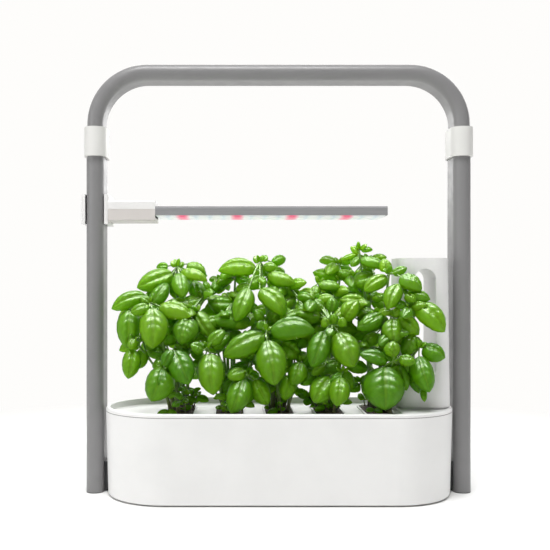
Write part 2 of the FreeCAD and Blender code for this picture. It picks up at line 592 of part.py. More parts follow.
def oval_wire(width, depth, z, x):
    """A flat-oval tube section at the frame's depth, its long way along Y."""
    half = width / 2
    reach = (depth - width) / 2
    edges = []
    for side in (-1, 1):
        centre = V(x, FRAME_Y + side * reach, z)
        start = centre + V(side * half, 0, 0)
        end = centre - V(side * half, 0, 0)
        edges.append(Part.Arc(start, centre + V(0, side * half, 0), end).toShape())
        edges.append(Part.makeLine(end, end - V(0, side * 2 * reach, 0)))
    return Part.Wire(edges)


def oval_bar(width, depth, bottom, top, x):
    """An upright bar of flat-oval section."""
    return slab(oval_wire(width, depth, bottom, x), top - bottom)


def leg():
    """The left leg: an upright tube, with a hole for the collar's screw."""
    outer = oval_bar(LEG_WIDTH, LEG_DEPTH, LEG_CAP, LEG_TOP, -LEG_X)
    bore_width = LEG_WIDTH - 2 * LEG_WALL
    bore_depth = LEG_DEPTH - 2 * LEG_WALL
    tube = outer.cut(oval_bar(bore_width, bore_depth, 0, LEG_TOP + OVERRUN, -LEG_X))
    return tube.cut(collar_screw_hole())


def leg_cap():
    """The left leg's foot: a sole under the tube and a hollow plug inside it."""
    sole = oval_bar(LEG_WIDTH, LEG_DEPTH, 0, LEG_CAP, -LEG_X)
    inset = 2 * (LEG_WALL + SEAT_GAP)
    plug = oval_bar(LEG_WIDTH - inset, LEG_DEPTH - inset, LEG_CAP, LEG_CAP + LEG_CAP_PLUG, -LEG_X)
    inset += 2 * LEG_CAP_WALL
    pocket = oval_bar(LEG_WIDTH - inset, LEG_DEPTH - inset, LEG_CAP + LEG_CAP_WALL, LEG_TOP, -LEG_X)
    return sole.fuse(plug).cut(pocket).removeSplitter()


def collar_screw_start():
    """Where the collar's screw sits, at the collar's outer side."""
    return V(-LEG_X - LEG_WIDTH / 2 - COLLAR_WALL, FRAME_Y, COLLAR_TOP - COLLAR_SCREW_DROP)


def collar_screw_hole():
    """The screw's way through the collar and the leg's wall."""
    start = collar_screw_start() - V(OVERRUN, 0, 0)
    length = COLLAR_WALL + LEG_WALL + OVERRUN + SLIDE_GAP
    return cylinder(COLLAR_SCREW_RADIUS + SEAT_GAP, length, start, X_AXIS)


def collar():
    """The left collar: a sleeve on the leg's end with a narrower lip round the arch."""
    grow = 2 * COLLAR_WALL
    body = oval_bar(LEG_WIDTH + grow, LEG_DEPTH + grow, COLLAR_BOTTOM, COLLAR_TOP, -LEG_X)
    fit = 2 * SEAT_GAP
    body = body.cut(oval_bar(LEG_WIDTH + fit, LEG_DEPTH + fit, COLLAR_BOTTOM - OVERRUN, LEG_TOP, -LEG_X))
    fit = 2 * SLIDE_GAP
    lip_bore = oval_bar(TUBE_WIDTH + fit, TUBE_DEPTH + fit, COLLAR_BOTTOM, COLLAR_TOP + OVERRUN, -LEG_X)
    return body.cut(lip_bore).cut(collar_screw_hole())


def collar_screws():
    """Two socket set screws that press on the arch's ends."""
    start = collar_screw_start() + V(COLLAR_SCREW_RECESS, 0, 0)
    length = COLLAR_WALL + LEG_WALL - COLLAR_SCREW_RECESS
    screw = cylinder(COLLAR_SCREW_RADIUS, length, start, X_AXIS)
    socket = cylinder(COLLAR_SCREW_RADIUS * HEX_SHARE, length / 2, start, X_AXIS)
    screw = screw.cut(socket)
    return group([screw, mirrored(screw)])


def bend_turn(face, side, angle):
    """Turn a section round the centre of one of the arch's bends."""
    centre = V(side * BEND_X, 0, BEND_Z)
    return face.revolve(centre, V(0, side, 0), -angle)


def arch_form(width, depth):
    """The arch's bends and top as a solid bar of flat-oval section."""
    pieces = []
    for side in (-1, 1):
        face = Part.Face(oval_wire(width, depth, BEND_Z, side * LEG_X))
        pieces.append(bend_turn(face, side, RIGHT_ANGLE))
    end = Part.Face(oval_wire(width, depth, BEND_Z, -LEG_X))
    end.rotate(V(-BEND_X, 0, BEND_Z), Y_AXIS, RIGHT_ANGLE)
    pieces.append(end.extrude(V(2 * BEND_X, 0, 0)))
    return pieces[0].fuse(pieces[1:]).removeSplitter()


def arch_tube():
    """The arch's upper part: two bends and the straight top, hollow all along."""
    inset = 2 * ARCH_WALL
    return arch_form(TUBE_WIDTH, TUBE_DEPTH).cut(arch_form(TUBE_WIDTH - inset, TUBE_DEPTH - inset))


def arch_upright():
    """The arch's left end, which slides in the leg."""
    inset = 2 * ARCH_WALL
    outer = oval_bar(TUBE_WIDTH, TUBE_DEPTH, ARCH_BOTTOM, BEND_Z, -LEG_X)
    low = ARCH_BOTTOM - OVERRUN
    return outer.cut(oval_bar(TUBE_WIDTH - inset, TUBE_DEPTH - inset, low, BEND_Z + OVERRUN, -LEG_X))


def arch_glides():
    """Plastic plugs in the arch's two ends, which guide it inside the legs."""
    sole = oval_bar(TUBE_WIDTH, TUBE_DEPTH, ARCH_BOTTOM - GLIDE_SOLE, ARCH_BOTTOM, -LEG_X)
    inset = 2 * (ARCH_WALL + SEAT_GAP)
    plug = oval_bar(TUBE_WIDTH - inset, TUBE_DEPTH - inset, ARCH_BOTTOM, ARCH_BOTTOM + GLIDE_PLUG, -LEG_X)
    glide = sole.fuse(plug).removeSplitter()
    return group([glide, mirrored(glide)])


def bracket():
    """The left bracket: a block that fills the gap between the leg and the tub's end."""
    half = BRACKET_DEPTH / 2
    face_x = -LEG_X + LEG_WIDTH / 2
    inner_x = OVERRUN - tub_end_x(TUB_BOTTOM)
    block = box(face_x, inner_x, FRAME_Y - half, FRAME_Y + half, LEG_CAP, BRACKET_HEIGHT)
    block = block.cut(tub_form(-OVERRUN, BRACKET_HEIGHT + OVERRUN, SEAT_GAP))
    for z in bolt_heights():
        start = V(-tub_end_x(z) + OVERRUN, FRAME_Y, z)
        block = block.cut(cylinder(BOLT_RADIUS + SEAT_GAP / 2, OVERRUN + BOLT_GRIP, start, V(-1, 0, 0)))
    return block


def frame_bolts():
    """Four bolts from inside the tub into the brackets."""
    bolts = []
    for z in bolt_heights():
        seat = V(-tub_end_x(z) + BOLT_BOSS_REACH, FRAME_Y, z)
        head = cylinder(BOLT_HEAD_RADIUS, BOLT_HEAD_HEIGHT, seat, X_AXIS)
        socket_start = seat + V(BOLT_HEAD_HEIGHT / 2, 0, 0)
        socket = cylinder(BOLT_HEAD_RADIUS * HEX_SHARE, BOLT_HEAD_HEIGHT, socket_start, X_AXIS)
        shank = cylinder(BOLT_RADIUS, BOLT_BOSS_REACH + BOLT_GRIP, seat, V(-1, 0, 0))
        bolt = head.cut(socket).fuse(shank)
        bolts.append(bolt)
        bolts.append(mirrored(bolt))
    return group(bolts)


def write_tub_and_frame():
    """Write the pieces of the tub, the pods and the frame."""
    save("tub_shell", tub_shell())
    save("rubber_feet", rubber_feet())
    save("deck", deck())
    for i, x in enumerate(POD_XS, 1):
        save("pod_cup_%d" % i, pod_cup(x))
        save("grow_plug_%d" % i, grow_plug(x))
    save("left_leg", leg())
    save("right_leg", mirrored(leg()))
    save("left_leg_cap", leg_cap())
    save("right_leg_cap", mirrored(leg_cap()))
    save("left_collar", collar())
    save("right_collar", mirrored(collar()))
    save("collar_screws", collar_screws())
    save("left_bracket", bracket())
    save("right_bracket", mirrored(bracket()))
    save("frame_bolts", frame_bolts())
    save("arch_tube", arch_tube())
    save("left_arch_end", arch_upright())
    save("right_arch_end", mirrored(arch_upright()))
    save("arch_glides", arch_glides())


# Lamp


def jaw(side):
    """One jaw of the clamp: a rounded plate beside the leg."""
    near = -LEG_X + side * JAW_FACE
    far = -LEG_X + side * (JAW_FACE + JAW_THICK)
    front = FRAME_Y - JAW_DEPTH / 2
    back = FRAME_Y + LEG_DEPTH / 2 + CLAMP_PAD
    plate = box(min(near, far), max(near, far), front, back, CLAMP_BOTTOM, CLAMP_TOP)
    outer = at_x(far)
    return round_edges(plate, JAW_ROUND / 2, lambda e: outer(e) and e.BoundBox.YMin < back - SEAT_GAP)


def clamp_screw_places():
    """The points on the bridge's back where the clamp's screws sit."""
    x = -LEG_X + JAW_FACE + JAW_THICK / 2
    y = FRAME_Y + LEG_DEPTH / 2 + CLAMP_PAD + BRIDGE_THICK
    return [V(x, y, CLAMP_BOTTOM + CLAMP_HEIGHT * share) for share in CLAMP_SCREW_SHARES]


def clamp_outer_jaw():
    """The outer jaw with the bridge that runs behind the leg to the inner jaw."""
    back = FRAME_Y + LEG_DEPTH / 2 + CLAMP_PAD
    reach = JAW_FACE + JAW_THICK
    bridge = box(-LEG_X - reach, -LEG_X + reach, back, back + BRIDGE_THICK, CLAMP_BOTTOM, CLAMP_TOP)
    rear = back + SEAT_GAP
    upright = CLAMP_HEIGHT / 2
    bridge = round_edges(bridge, JAW_ROUND, lambda e: e.BoundBox.ZLength > upright and e.BoundBox.YMin > rear)
    radius = CLAMP_SCREW_RADIUS + SEAT_GAP
    for place in clamp_screw_places():
        bridge = bridge.cut(cylinder(radius, BRIDGE_THICK + OVERRUN, place, V(0, -1, 0)))
    return jaw(-1).fuse(bridge).removeSplitter()


def clamp_inner_jaw():
    """The inner jaw, with threads for the clamp's screws and a tang that holds the arm."""
    body = jaw(1)
    middle = (ARM_BOTTOM + ARM_TOP) / 2
    half = ARM_DEPTH / 4
    end = ARM_START + 3 * ARM_WALL
    tang = box(ARM_START, end, FRAME_Y - half, FRAME_Y + half, middle - ARM_WALL, middle + ARM_WALL)
    body = body.fuse(tang)
    radius = CLAMP_SCREW_RADIUS + SEAT_GAP / 2
    for place in clamp_screw_places():
        start = place - V(0, BRIDGE_THICK - OVERRUN, 0)
        body = body.cut(cylinder(radius, CLAMP_SCREW_LENGTH + OVERRUN, start, V(0, -1, 0)))
    return body.removeSplitter()


def clamp_pads():
    """Two thin rubber pads between the jaws and the leg's flat sides."""
    half = (LEG_DEPTH - LEG_WIDTH) / 2
    bottom = CLAMP_BOTTOM + CLAMP_PAD
    top = CLAMP_TOP - CLAMP_PAD
    pads = []
    for side in (-1, 1):
        near = -LEG_X + side * LEG_WIDTH / 2
        far = -LEG_X + side * JAW_FACE
        pads.append(box(min(near, far), max(near, far), FRAME_Y - half, FRAME_Y + half, bottom, top))
    return group(pads)


def clamp_screws():
    """Two socket screws that pull the outer jaw's bridge to the inner jaw."""
    screws = []
    for place in clamp_screw_places():
        head = cylinder(CLAMP_SCREW_HEAD, CLAMP_SCREW_RADIUS, place, Y_AXIS)
        socket_start = place + V(0, CLAMP_SCREW_RADIUS / 2, 0)
        socket = cylinder(CLAMP_SCREW_HEAD * HEX_SHARE, CLAMP_SCREW_RADIUS, socket_start, Y_AXIS)
        shank = cylinder(CLAMP_SCREW_RADIUS, CLAMP_SCREW_LENGTH, place, V(0, -1, 0))
        screws.append(head.cut(socket).fuse(shank))
    return group(screws)


def arm_form():
    """The arm's outer block, rounded along its length."""
    half = ARM_DEPTH / 2
    block = box(ARM_START, ARM_END, FRAME_Y - half, FRAME_Y + half, ARM_BOTTOM, ARM_TOP)
    return round_edges(block, ARM_ROUND, lambda e: e.BoundBox.XLength > ARM_LENGTH / 2)


def arm_shell(bottom, top):
    """One shell of the arm: the part of the hollow block between two heights."""
    half = ARM_DEPTH / 2 - ARM_WALL
    hollow = box(ARM_START + ARM_WALL, ARM_END - ARM_WALL, FRAME_Y - half, FRAME_Y + half,
                 ARM_BOTTOM + ARM_WALL, ARM_TOP - ARM_WALL)
    bar_half = BAR_DEPTH / 2 + SEAT_GAP
    start = BAR_START - SEAT_GAP
    bar_way = box(start, ARM_END + OVERRUN, FRAME_Y - bar_half, FRAME_Y + bar_half,
                  BAR_BOTTOM - DIFFUSER_DROP - SEAT_GAP, BAR_TOP + SEAT_GAP)
    inner = arm_form().cut(hollow)
    between = box(start, ARM_END + OVERRUN, FRAME_Y - half, FRAME_Y + half, ARM_BOTTOM, ARM_TOP)
    bar_way = bar_way.common(between)
    tang_half = ARM_DEPTH / 4 + SEAT_GAP
    middle = (ARM_BOTTOM + ARM_TOP) / 2
    tang_room = ARM_WALL + SEAT_GAP
    tang = box(ARM_START - OVERRUN, ARM_START + 2 * ARM_WALL, FRAME_Y - tang_half, FRAME_Y + tang_half,
               middle - tang_room, middle + tang_room)
    reach = ARM_DEPTH
    keep = box(ARM_START - OVERRUN, ARM_END + OVERRUN, FRAME_Y - reach, FRAME_Y + reach, bottom, top)
    return inner.cut(bar_way).cut(tang).common(keep)


def arm_upper_shell():
    """The arm's upper shell."""
    return arm_shell(ARM_SEAM, ARM_TOP + OVERRUN)


def arm_lower_shell():
    """The arm's lower shell, a hair narrower at the seam so that the seam shows as a line."""
    shell = arm_shell(ARM_BOTTOM - OVERRUN, ARM_SEAM)
    half = ARM_DEPTH / 2
    for side in (-1, 1):
        edge = FRAME_Y + side * half
        inner = edge - side * ARM_SEAM_GAP
        groove = box(ARM_START - OVERRUN, ARM_END + OVERRUN, min(edge, inner), max(edge, inner),
                     ARM_SEAM - ARM_SEAM_GAP, ARM_SEAM + OVERRUN)
        shell = shell.cut(groove)
    return shell


def driver_board():
    """The lamp's driver: a board with a few parts on it, on the lower shell's floor."""
    x0 = ARM_START + 3 * ARM_WALL + SEAT_GAP
    x1 = min(x0 + DRIVER_LENGTH, BAR_START - SEAT_GAP)
    half = DRIVER_DEPTH / 2
    bottom = ARM_BOTTOM + ARM_WALL
    top = bottom + BOARD_THICK
    board = box(x0, x1, FRAME_Y - half, FRAME_Y + half, bottom, top)
    pitch = (x1 - x0) / DRIVER_PARTS
    size = pitch / 2
    for i in range(DRIVER_PARTS):
        x = x0 + pitch * (i + 0.5)
        height = DRIVER_PART_HEIGHT * (i + 1) / DRIVER_PARTS
        chip = box(x - size / 2, x + size / 2, FRAME_Y - size, FRAME_Y + size, top, top + height)
        board = board.fuse(chip)
    return board.removeSplitter()


def bar_half_depth():
    """Half the light bar's depth inside the arm's walls."""
    return ARM_DEPTH / 2 - ARM_WALL - SEAT_GAP


def lamp_housing():
    """The light bar's housing: a channel open below, with a narrower end inside the arm."""
    half = BAR_DEPTH / 2
    body = box(ARM_END, BAR_END - END_CAP_THICK, FRAME_Y - half, FRAME_Y + half, BAR_BOTTOM, BAR_TOP)
    body = round_edges(body, BAR_ROUND, long_and_above(BAR_LENGTH / 2, BAR_BOTTOM + SEAT_GAP))
    half = bar_half_depth()
    tenon = box(BAR_START, ARM_END, FRAME_Y - half, FRAME_Y + half, BAR_BOTTOM, BAR_TOP)
    half = bar_half_depth() - BAR_WALL
    channel = box(BAR_START - OVERRUN, BAR_END + OVERRUN, FRAME_Y - half, FRAME_Y + half,
                  BAR_BOTTOM - OVERRUN, BAR_TOP - 2 * BAR_WALL)
    return body.fuse(tenon).cut(channel).removeSplitter()


def led_board():
    """The long board that carries the light sources, under the channel's roof."""
    half = bar_half_depth() - BAR_WALL - SEAT_GAP
    top = BAR_TOP - 2 * BAR_WALL
    return box(BAR_START + SEAT_GAP, BAR_END - END_CAP_THICK - SEAT_GAP, FRAME_Y - half, FRAME_Y + half,
               top - BOARD_THICK, top)


def led_chips():
    """The light sources: two rows of small square chips under the board."""
    top = BAR_TOP - 2 * BAR_WALL - BOARD_THICK
    pitch = BAR_LENGTH / (LED_COUNT + 1)
    half = LED_SIZE / 2
    chips = []
    for row in range(LED_ROWS):
        y = FRAME_Y + BAR_DEPTH / 4 * (2 * row - 1)
        for i in range(LED_COUNT):
            x = ARM_END + pitch * (i + 1)
            chips.append(box(x - half, x + half, y - half, y + half, top - LED_HEIGHT, top))
    return group(chips)


def lamp_diffuser():
    """The milky tray under the light sources, with slanted ends."""
    low = BAR_BOTTOM - DIFFUSER_DROP
    room = SEAT_GAP
    half = bar_half_depth() - BAR_WALL - room
    x0 = ARM_END + room
    x1 = BAR_END - END_CAP_THICK - room
    slant = DIFFUSER_INSET
    def outline(grow_x, grow_y, z):
        points = [V(x0 - grow_x, FRAME_Y - half - grow_y, z), V(x1 + grow_x, FRAME_Y - half - grow_y, z),
                  V(x1 + grow_x, FRAME_Y + half + grow_y, z), V(x0 - grow_x, FRAME_Y + half + grow_y, z)]
        return Part.makePolygon(points + [points[0]])
    tray = tapered(outline(-slant, -slant / 3, low), outline(-room, 0, BAR_BOTTOM))
    tray = tray.fuse(slab(outline(0, 0, BAR_BOTTOM), BAR_WALL))
    wall = DIFFUSER_THICK
    inside_low = outline(-slant - wall, -slant / 3 - wall, low + wall)
    inside = tapered(inside_low, outline(-room - wall, -wall, BAR_BOTTOM))
    inside = inside.fuse(slab(outline(-wall, -wall, BAR_BOTTOM), BAR_WALL + OVERRUN))
    return tray.cut(inside).removeSplitter()


def lamp_end_cap():
    """The plate that closes the light bar's free end, with a lip inside the channel."""
    half = BAR_DEPTH / 2
    cap = box(BAR_END - END_CAP_THICK, BAR_END, FRAME_Y - half, FRAME_Y + half, BAR_BOTTOM, BAR_TOP)
    return round_edges(cap, BAR_ROUND, long_and_above(END_CAP_THICK / 2, BAR_BOTTOM + SEAT_GAP))


# Jug


def jug_form(bottom, top, grow):
    """The solid inside the jug's outline between two heights, moved outward by grow."""
    def grow_at(z):
        return grow + JUG_DRAFT * (JUG_TOP - z) / (JUG_TOP - JUG_BASE)
    sizes = (JUG_HALF_WIDTH, JUG_HALF_DEPTH, JUG_CORNER)
    return drafted(sizes, (grow_at(bottom), grow_at(top)), (bottom, top), JUG_X)


def slot_prism(grow):
    """The handle slot as a solid that runs right through the jug along Y, moved outward by grow."""
    half = SLOT_WIDTH / 2 + grow
    reach = 2 * JUG_HALF_DEPTH
    low = SLOT_BOTTOM + SLOT_WIDTH / 2
    high = SLOT_TOP - SLOT_WIDTH / 2
    body = box(JUG_X - half, JUG_X + half, -reach, reach, low, high)
    for z in (low, high):
        body = body.fuse(cylinder(half, 2 * reach, V(JUG_X, -reach, z), Y_AXIS))
    return body.removeSplitter()


def watering_jug():
    """The jug: one thin wall inside and out, open at the top, hollow round its slot."""
    outer = break_edges(jug_form(JUG_BASE, JUG_TOP, 0), JUG_WALL, level_at(JUG_BASE))
    foot = jug_form(JUG_BASE - JUG_FOOT_GAP, JUG_BASE + JUG_WALL / 2, -JUG_FOOT_INSET)
    inner = jug_form(JUG_BASE + JUG_WALL, JUG_TOP + OVERRUN, -JUG_WALL)
    inner = inner.cut(slot_prism(JUG_WALL))
    body = outer.fuse(foot).cut(inner).cut(slot_prism(0))
    return body.removeSplitter()


# Water works


def tub_floor_top():
    """The height of the tub's inner floor."""
    return TUB_BOTTOM + TUB_FLOOR


def pump_box():
    """The pump's outer block, standing on the tub's floor."""
    low = tub_floor_top()
    half_x = PUMP_WIDTH / 2
    half_y = PUMP_DEPTH / 2
    return box(PUMP_X - half_x, PUMP_X + half_x, -half_y, half_y, low, low + PUMP_HEIGHT)


def impeller_floor():
    """The height of the impeller's underside."""
    return tub_floor_top() + PUMP_WALL + CHAMBER_GAP


def chamber_height():
    """The height of the round chamber that the impeller turns in."""
    return IMPELLER_HEIGHT + 2 * CHAMBER_GAP


def pump_housing():
    """The pump's housing: a chamber with intake slots in front and an outlet to the riser."""
    body = pump_box()
    body = round_edges(body, PUMP_WALL, lambda e: e.BoundBox.ZLength > PUMP_HEIGHT / 2)
    floor = tub_floor_top() + PUMP_WALL
    chamber = cylinder(IMPELLER_RADIUS + CHAMBER_GAP, chamber_height(), V(PUMP_X, 0, floor), Z_AXIS)
    body = body.cut(chamber)
    top = tub_floor_top() + PUMP_HEIGHT
    pocket_low = floor + chamber_height() + PUMP_WALL
    half_x = PUMP_WIDTH / 2 - PUMP_WALL
    half_y = PUMP_DEPTH / 2 - PUMP_WALL
    body = body.cut(box(PUMP_X - half_x, PUMP_X + half_x, -half_y, half_y, pocket_low, top + OVERRUN))
    pitch = IMPELLER_RADIUS / INLET_SLOTS * 2
    for i in range(INLET_SLOTS):
        x = PUMP_X + pitch * (i - (INLET_SLOTS - 1) / 2)
        half = INLET_SLOT_WIDTH / 2
        body = body.cut(box(x - half, x + half, -PUMP_DEPTH, 0, floor, floor + chamber_height()))
    way_z = floor + chamber_height() / 2
    way = cylinder(RISER_RADIUS - RISER_WALL, PUMP_DEPTH, V(RISER_X, 0, way_z), Y_AXIS)
    return body.cut(way)


def pump_cover():
    """The lid of the pump's motor space, with a lip inside the housing."""
    top = tub_floor_top() + PUMP_HEIGHT
    half_x = PUMP_WIDTH / 2
    half_y = PUMP_DEPTH / 2
    plate = box(PUMP_X - half_x, PUMP_X + half_x, -half_y, half_y, top, top + PUMP_COVER)
    plate = round_edges(plate, PUMP_WALL, lambda e: e.BoundBox.ZLength > PUMP_COVER / 2)
    inset = PUMP_WALL + SEAT_GAP
    half_x -= inset
    half_y -= inset
    lip = box(PUMP_X - half_x, PUMP_X + half_x, -half_y, half_y, top - PUMP_COVER, top)
    return plate.fuse(lip).removeSplitter()


def impeller_shaft():
    """The fixed pin that the impeller turns on, held at both ends by the housing."""
    floor = tub_floor_top() + PUMP_WALL
    return cylinder(SHAFT_RADIUS, chamber_height(), V(PUMP_X, 0, floor), Z_AXIS)


def pump_impeller():
    """The impeller: a hub on the shaft with straight blades."""
    low = impeller_floor()
    hub = cylinder(IMPELLER_HUB, IMPELLER_HEIGHT, V(PUMP_X, 0, low), Z_AXIS)
    half = IMPELLER_BLADE_THICK / 2
    for i in range(IMPELLER_BLADES):
        blade = box(PUMP_X, PUMP_X + IMPELLER_RADIUS, -half, half, low, low + IMPELLER_HEIGHT)
        blade.rotate(V(PUMP_X, 0, low), Z_AXIS, 4 * RIGHT_ANGLE * i / IMPELLER_BLADES)
        hub = hub.fuse(blade)
    bore_start = V(PUMP_X, 0, low - OVERRUN)
    bore = cylinder(SHAFT_RADIUS + SHAFT_GAP, IMPELLER_HEIGHT + 2 * OVERRUN, bore_start, Z_AXIS)
    return hub.cut(bore).removeSplitter()


def channel_bottom():
    """The height of the feed channel's underside, close under the deck."""
    return DECK_TOP - DECK_THICK - CHANNEL_HEIGHT


def riser_pipe():
    """The pipe from the pump's outlet up to the feed channel."""
    way_z = tub_floor_top() + PUMP_WALL + chamber_height() / 2
    start_y = PUMP_DEPTH / 2
    low_run = cylinder(RISER_RADIUS, CHANNEL_Y - start_y, V(RISER_X, start_y, way_z), Y_AXIS)
    up_run = cylinder(RISER_RADIUS, channel_bottom() - way_z, V(RISER_X, CHANNEL_Y, way_z), Z_AXIS)
    elbow = Part.makeSphere(RISER_RADIUS, V(RISER_X, CHANNEL_Y, way_z))
    bore = RISER_RADIUS - RISER_WALL
    low_bore = cylinder(bore, CHANNEL_Y - start_y + OVERRUN, V(RISER_X, start_y - OVERRUN, way_z), Y_AXIS)
    up_bore = cylinder(bore, channel_bottom() - way_z + OVERRUN, V(RISER_X, CHANNEL_Y, way_z), Z_AXIS)
    return low_run.fuse([up_run, elbow]).cut(low_bore).cut(up_bore).removeSplitter()


def feed_channel():
    """The gutter behind the cups, with one outlet for each pod."""
    low = channel_bottom()
    high = DECK_TOP - DECK_THICK
    half = CHANNEL_WIDTH / 2
    x0 = POD_XS[0] - half
    x1 = RISER_X + half
    body = box(x0, x1, CHANNEL_Y - half, CHANNEL_Y + half, low, high)
    wall = CHANNEL_WALL
    room = half - wall
    body = body.cut(box(x0 + wall, x1 - wall, CHANNEL_Y - room, CHANNEL_Y + room, low + wall, high + OVERRUN))
    hole_start = V(RISER_X, CHANNEL_Y, low - wall / 2)
    body = body.cut(cylinder(RISER_RADIUS - RISER_WALL, 2 * wall, hole_start, Z_AXIS))
    for x in POD_XS:
        start = V(x, CHANNEL_Y - half - OVERRUN, low + wall + OUTLET_RADIUS)
        body = body.cut(cylinder(OUTLET_RADIUS, wall + 2 * OVERRUN, start, Y_AXIS))
    return body


# Electrics


def box_top():
    """The height of the closed top of the control box's walls."""
    return DECK_TOP - DECK_THICK - BOX_DROP


def control_box():
    """The dry box in the tub's left end, hung from the deck by four posts."""
    half_x = BOX_WIDTH / 2
    half_y = BOX_DEPTH / 2
    top = box_top() - BOX_LID
    body = box(BOX_X - half_x, BOX_X + half_x, -half_y, half_y, top - BOX_HEIGHT, top)
    body = round_edges(body, BOX_WALL, lambda e: e.BoundBox.ZLength > BOX_HEIGHT / 2)
    half_x -= BOX_WALL
    half_y -= BOX_WALL
    floor = top - BOX_HEIGHT + BOX_WALL
    return body.cut(box(BOX_X - half_x, BOX_X + half_x, -half_y, half_y, floor, top + OVERRUN))


def control_box_lid():
    """The box's lid, with the posts that hang it from the deck."""
    half_x = BOX_WIDTH / 2
    half_y = BOX_DEPTH / 2
    top = box_top()
    lid = box(BOX_X - half_x, BOX_X + half_x, -half_y, half_y, top - BOX_LID, top)
    lid = round_edges(lid, BOX_WALL, lambda e: e.BoundBox.ZLength > BOX_LID / 2)
    for side_x in (-1, 1):
        for side_y in (-1, 1):
            place = V(BOX_X + side_x * (half_x - 2 * BOX_WALL), side_y * (half_y - 2 * BOX_WALL), top)
            lid = lid.fuse(cylinder(BOX_WALL, BOX_DROP, place, Z_AXIS))
    return lid


def control_board():
    """The board that times the lamp and the pump, with a few chips."""
    low = box_top() - BOX_LID - BOX_HEIGHT + BOX_WALL
    half_x = BOX_WIDTH / 2 - BOX_WALL - SEAT_GAP
    half_y = BOX_DEPTH / 2 - BOX_WALL - SEAT_GAP
    board = box(BOX_X - half_x, BOX_X + half_x, -half_y, half_y, low, low + BOARD_THICK)
    half = CHIP_SIZE / 2
    top = low + BOARD_THICK
    for share_x, share_y in CHIP_PLACES_SHARES:
        x = BOX_X + share_x * half_x
        y = share_y * half_y
        board = board.fuse(box(x - half, x + half, y - half, y + half, top, top + CHIP_HEIGHT))
    return board.removeSplitter()


def power_inlet():
    """The round low-voltage socket in the tub's back wall, sealed by its flange."""
    narrowing = TUB_DRAFT * (WALL_TOP - INLET_Z) / RIM_TO_FOOT
    face_y = TUB_HALF_DEPTH - narrowing + INLET_FLANGE_THICK / 2
    back = V(0, -1, 0)
    start = V(INLET_X, face_y + INLET_FLANGE_THICK, INLET_Z)
    flange = cylinder(INLET_FLANGE, INLET_FLANGE_THICK, start, back)
    barrel = cylinder(INLET_RADIUS, INLET_LENGTH, start, back)
    bore = cylinder(INLET_BORE, INLET_LENGTH - INLET_FLANGE_THICK, start, back)
    pin = cylinder(INLET_PIN, INLET_LENGTH, start - V(0, INLET_FLANGE_THICK, 0), back)
    pin = pin.common(barrel)
    return flange.fuse(barrel).cut(bore).fuse(pin).removeSplitter()


def write_lamp_jug_and_inside():
    """Write the pieces of the lamp, the jug and what is inside the tub."""
    save("clamp_outer_jaw", clamp_outer_jaw())
    save("clamp_inner_jaw", clamp_inner_jaw())
    save("clamp_pads", clamp_pads())
    save("clamp_screws", clamp_screws())
    save("arm_upper_shell", arm_upper_shell())
    save("arm_lower_shell", arm_lower_shell())
    save("driver_board", driver_board())
    save("lamp_housing", lamp_housing())
    save("led_board", led_board())
    save("led_chips", led_chips())
    save("lamp_diffuser", lamp_diffuser())
    save("lamp_end_cap", lamp_end_cap())
    save("watering_jug", watering_jug())
    save("pump_housing", pump_housing())
    save("pump_cover", pump_cover())
    save("impeller_shaft", impeller_shaft())
    save("pump_impeller", pump_impeller())
    save("riser_pipe", riser_pipe())
    save("feed_channel", feed_channel())
    save("control_box", control_box())
    save("control_box_lid", control_box_lid())
    save("control_board", control_board())
    save("power_inlet", power_inlet())


# Plants


def seen_point(column, row, depth_share):
    """The point in space that a place in the photograph shows at a depth behind the viewer's side."""
    depth = depth_share * TUB_HALF_DEPTH
    spread = (VIEW_DISTANCE + depth) / VIEW_DISTANCE
    x = (column - VIEW_PIXELS[0]) * spread + VIEW_PIXELS[0] - MEDIUM_PIXELS[0]
    z = (row - VIEW_PIXELS[1]) * spread + VIEW_PIXELS[1] - MEDIUM_PIXELS[1]
    return V(x * PIXEL_WIDTH, depth, PLUG_TOP - z * PIXEL_WIDTH)


def blade_normal(line, roll):
    """The direction that a blade's upper side faces, from its own line and its roll."""
    out = LEAF_FACING - line * LEAF_FACING.dot(line)
    if out.Length < LEAF_FACING.Length * SEAT_SHARE:
        out = Z_AXIS - line * Z_AXIS.dot(line)
    out.normalize()
    return FreeCAD.Rotation(line, roll).multVec(out)


def blade_points(base, tip, width, roll):
    """The rows of points of one blade: left edge, upper and lower midrib, right edge."""
    line = tip - base
    length = line.Length
    line.normalize()
    up = blade_normal(line, roll)
    across = line.cross(up)
    rows = []
    for along, half_share in LEAF_OUTLINE_SHARES:
        half = half_share * width / 2
        rise = LEAF_ARCH_SHARE * length * 4 * along * (1 - along)
        middle = base + line * (along * length) + up * rise
        edge = middle - up * (LEAF_CUP_SHARE * half)
        rows.append((edge - across * half, middle, middle - up * LEAF_THICK, edge + across * half))
    return rows


def faceted(points, triangles):
    """A closed solid from points and triangles."""
    shape = Part.Shape()
    shape.makeShapeFromMesh((points, triangles), SEAT_GAP / 100)
    return Part.Solid(shape.Shells[0])


def blade(base, tip, width, roll):
    """One leaf blade as a thin faceted lens, domed on its upper side."""
    rows = blade_points(base, tip, width, roll)
    points = [base]
    for row in rows:
        points.extend(row)
    points.append(tip)
    last = len(points) - 1
    triangles = [(0, 1, 2), (0, 2, 4), (0, 3, 1), (0, 4, 3)]
    for i in range(len(rows) - 1):
        a = 1 + 4 * i
        b = a + 4
        triangles += [(a, b + 1, a + 1), (a, b, b + 1), (a + 1, b + 3, a + 3), (a + 1, b + 1, b + 3)]
        triangles += [(a, a + 2, b + 2), (a, b + 2, b), (a + 2, a + 3, b + 3), (a + 2, b + 3, b + 2)]
    a = 1 + 4 * (len(rows) - 1)
    triangles += [(a, last, a + 1), (a + 1, last, a + 3), (a, a + 2, last), (a + 2, a + 3, last)]
    return faceted(points, triangles)


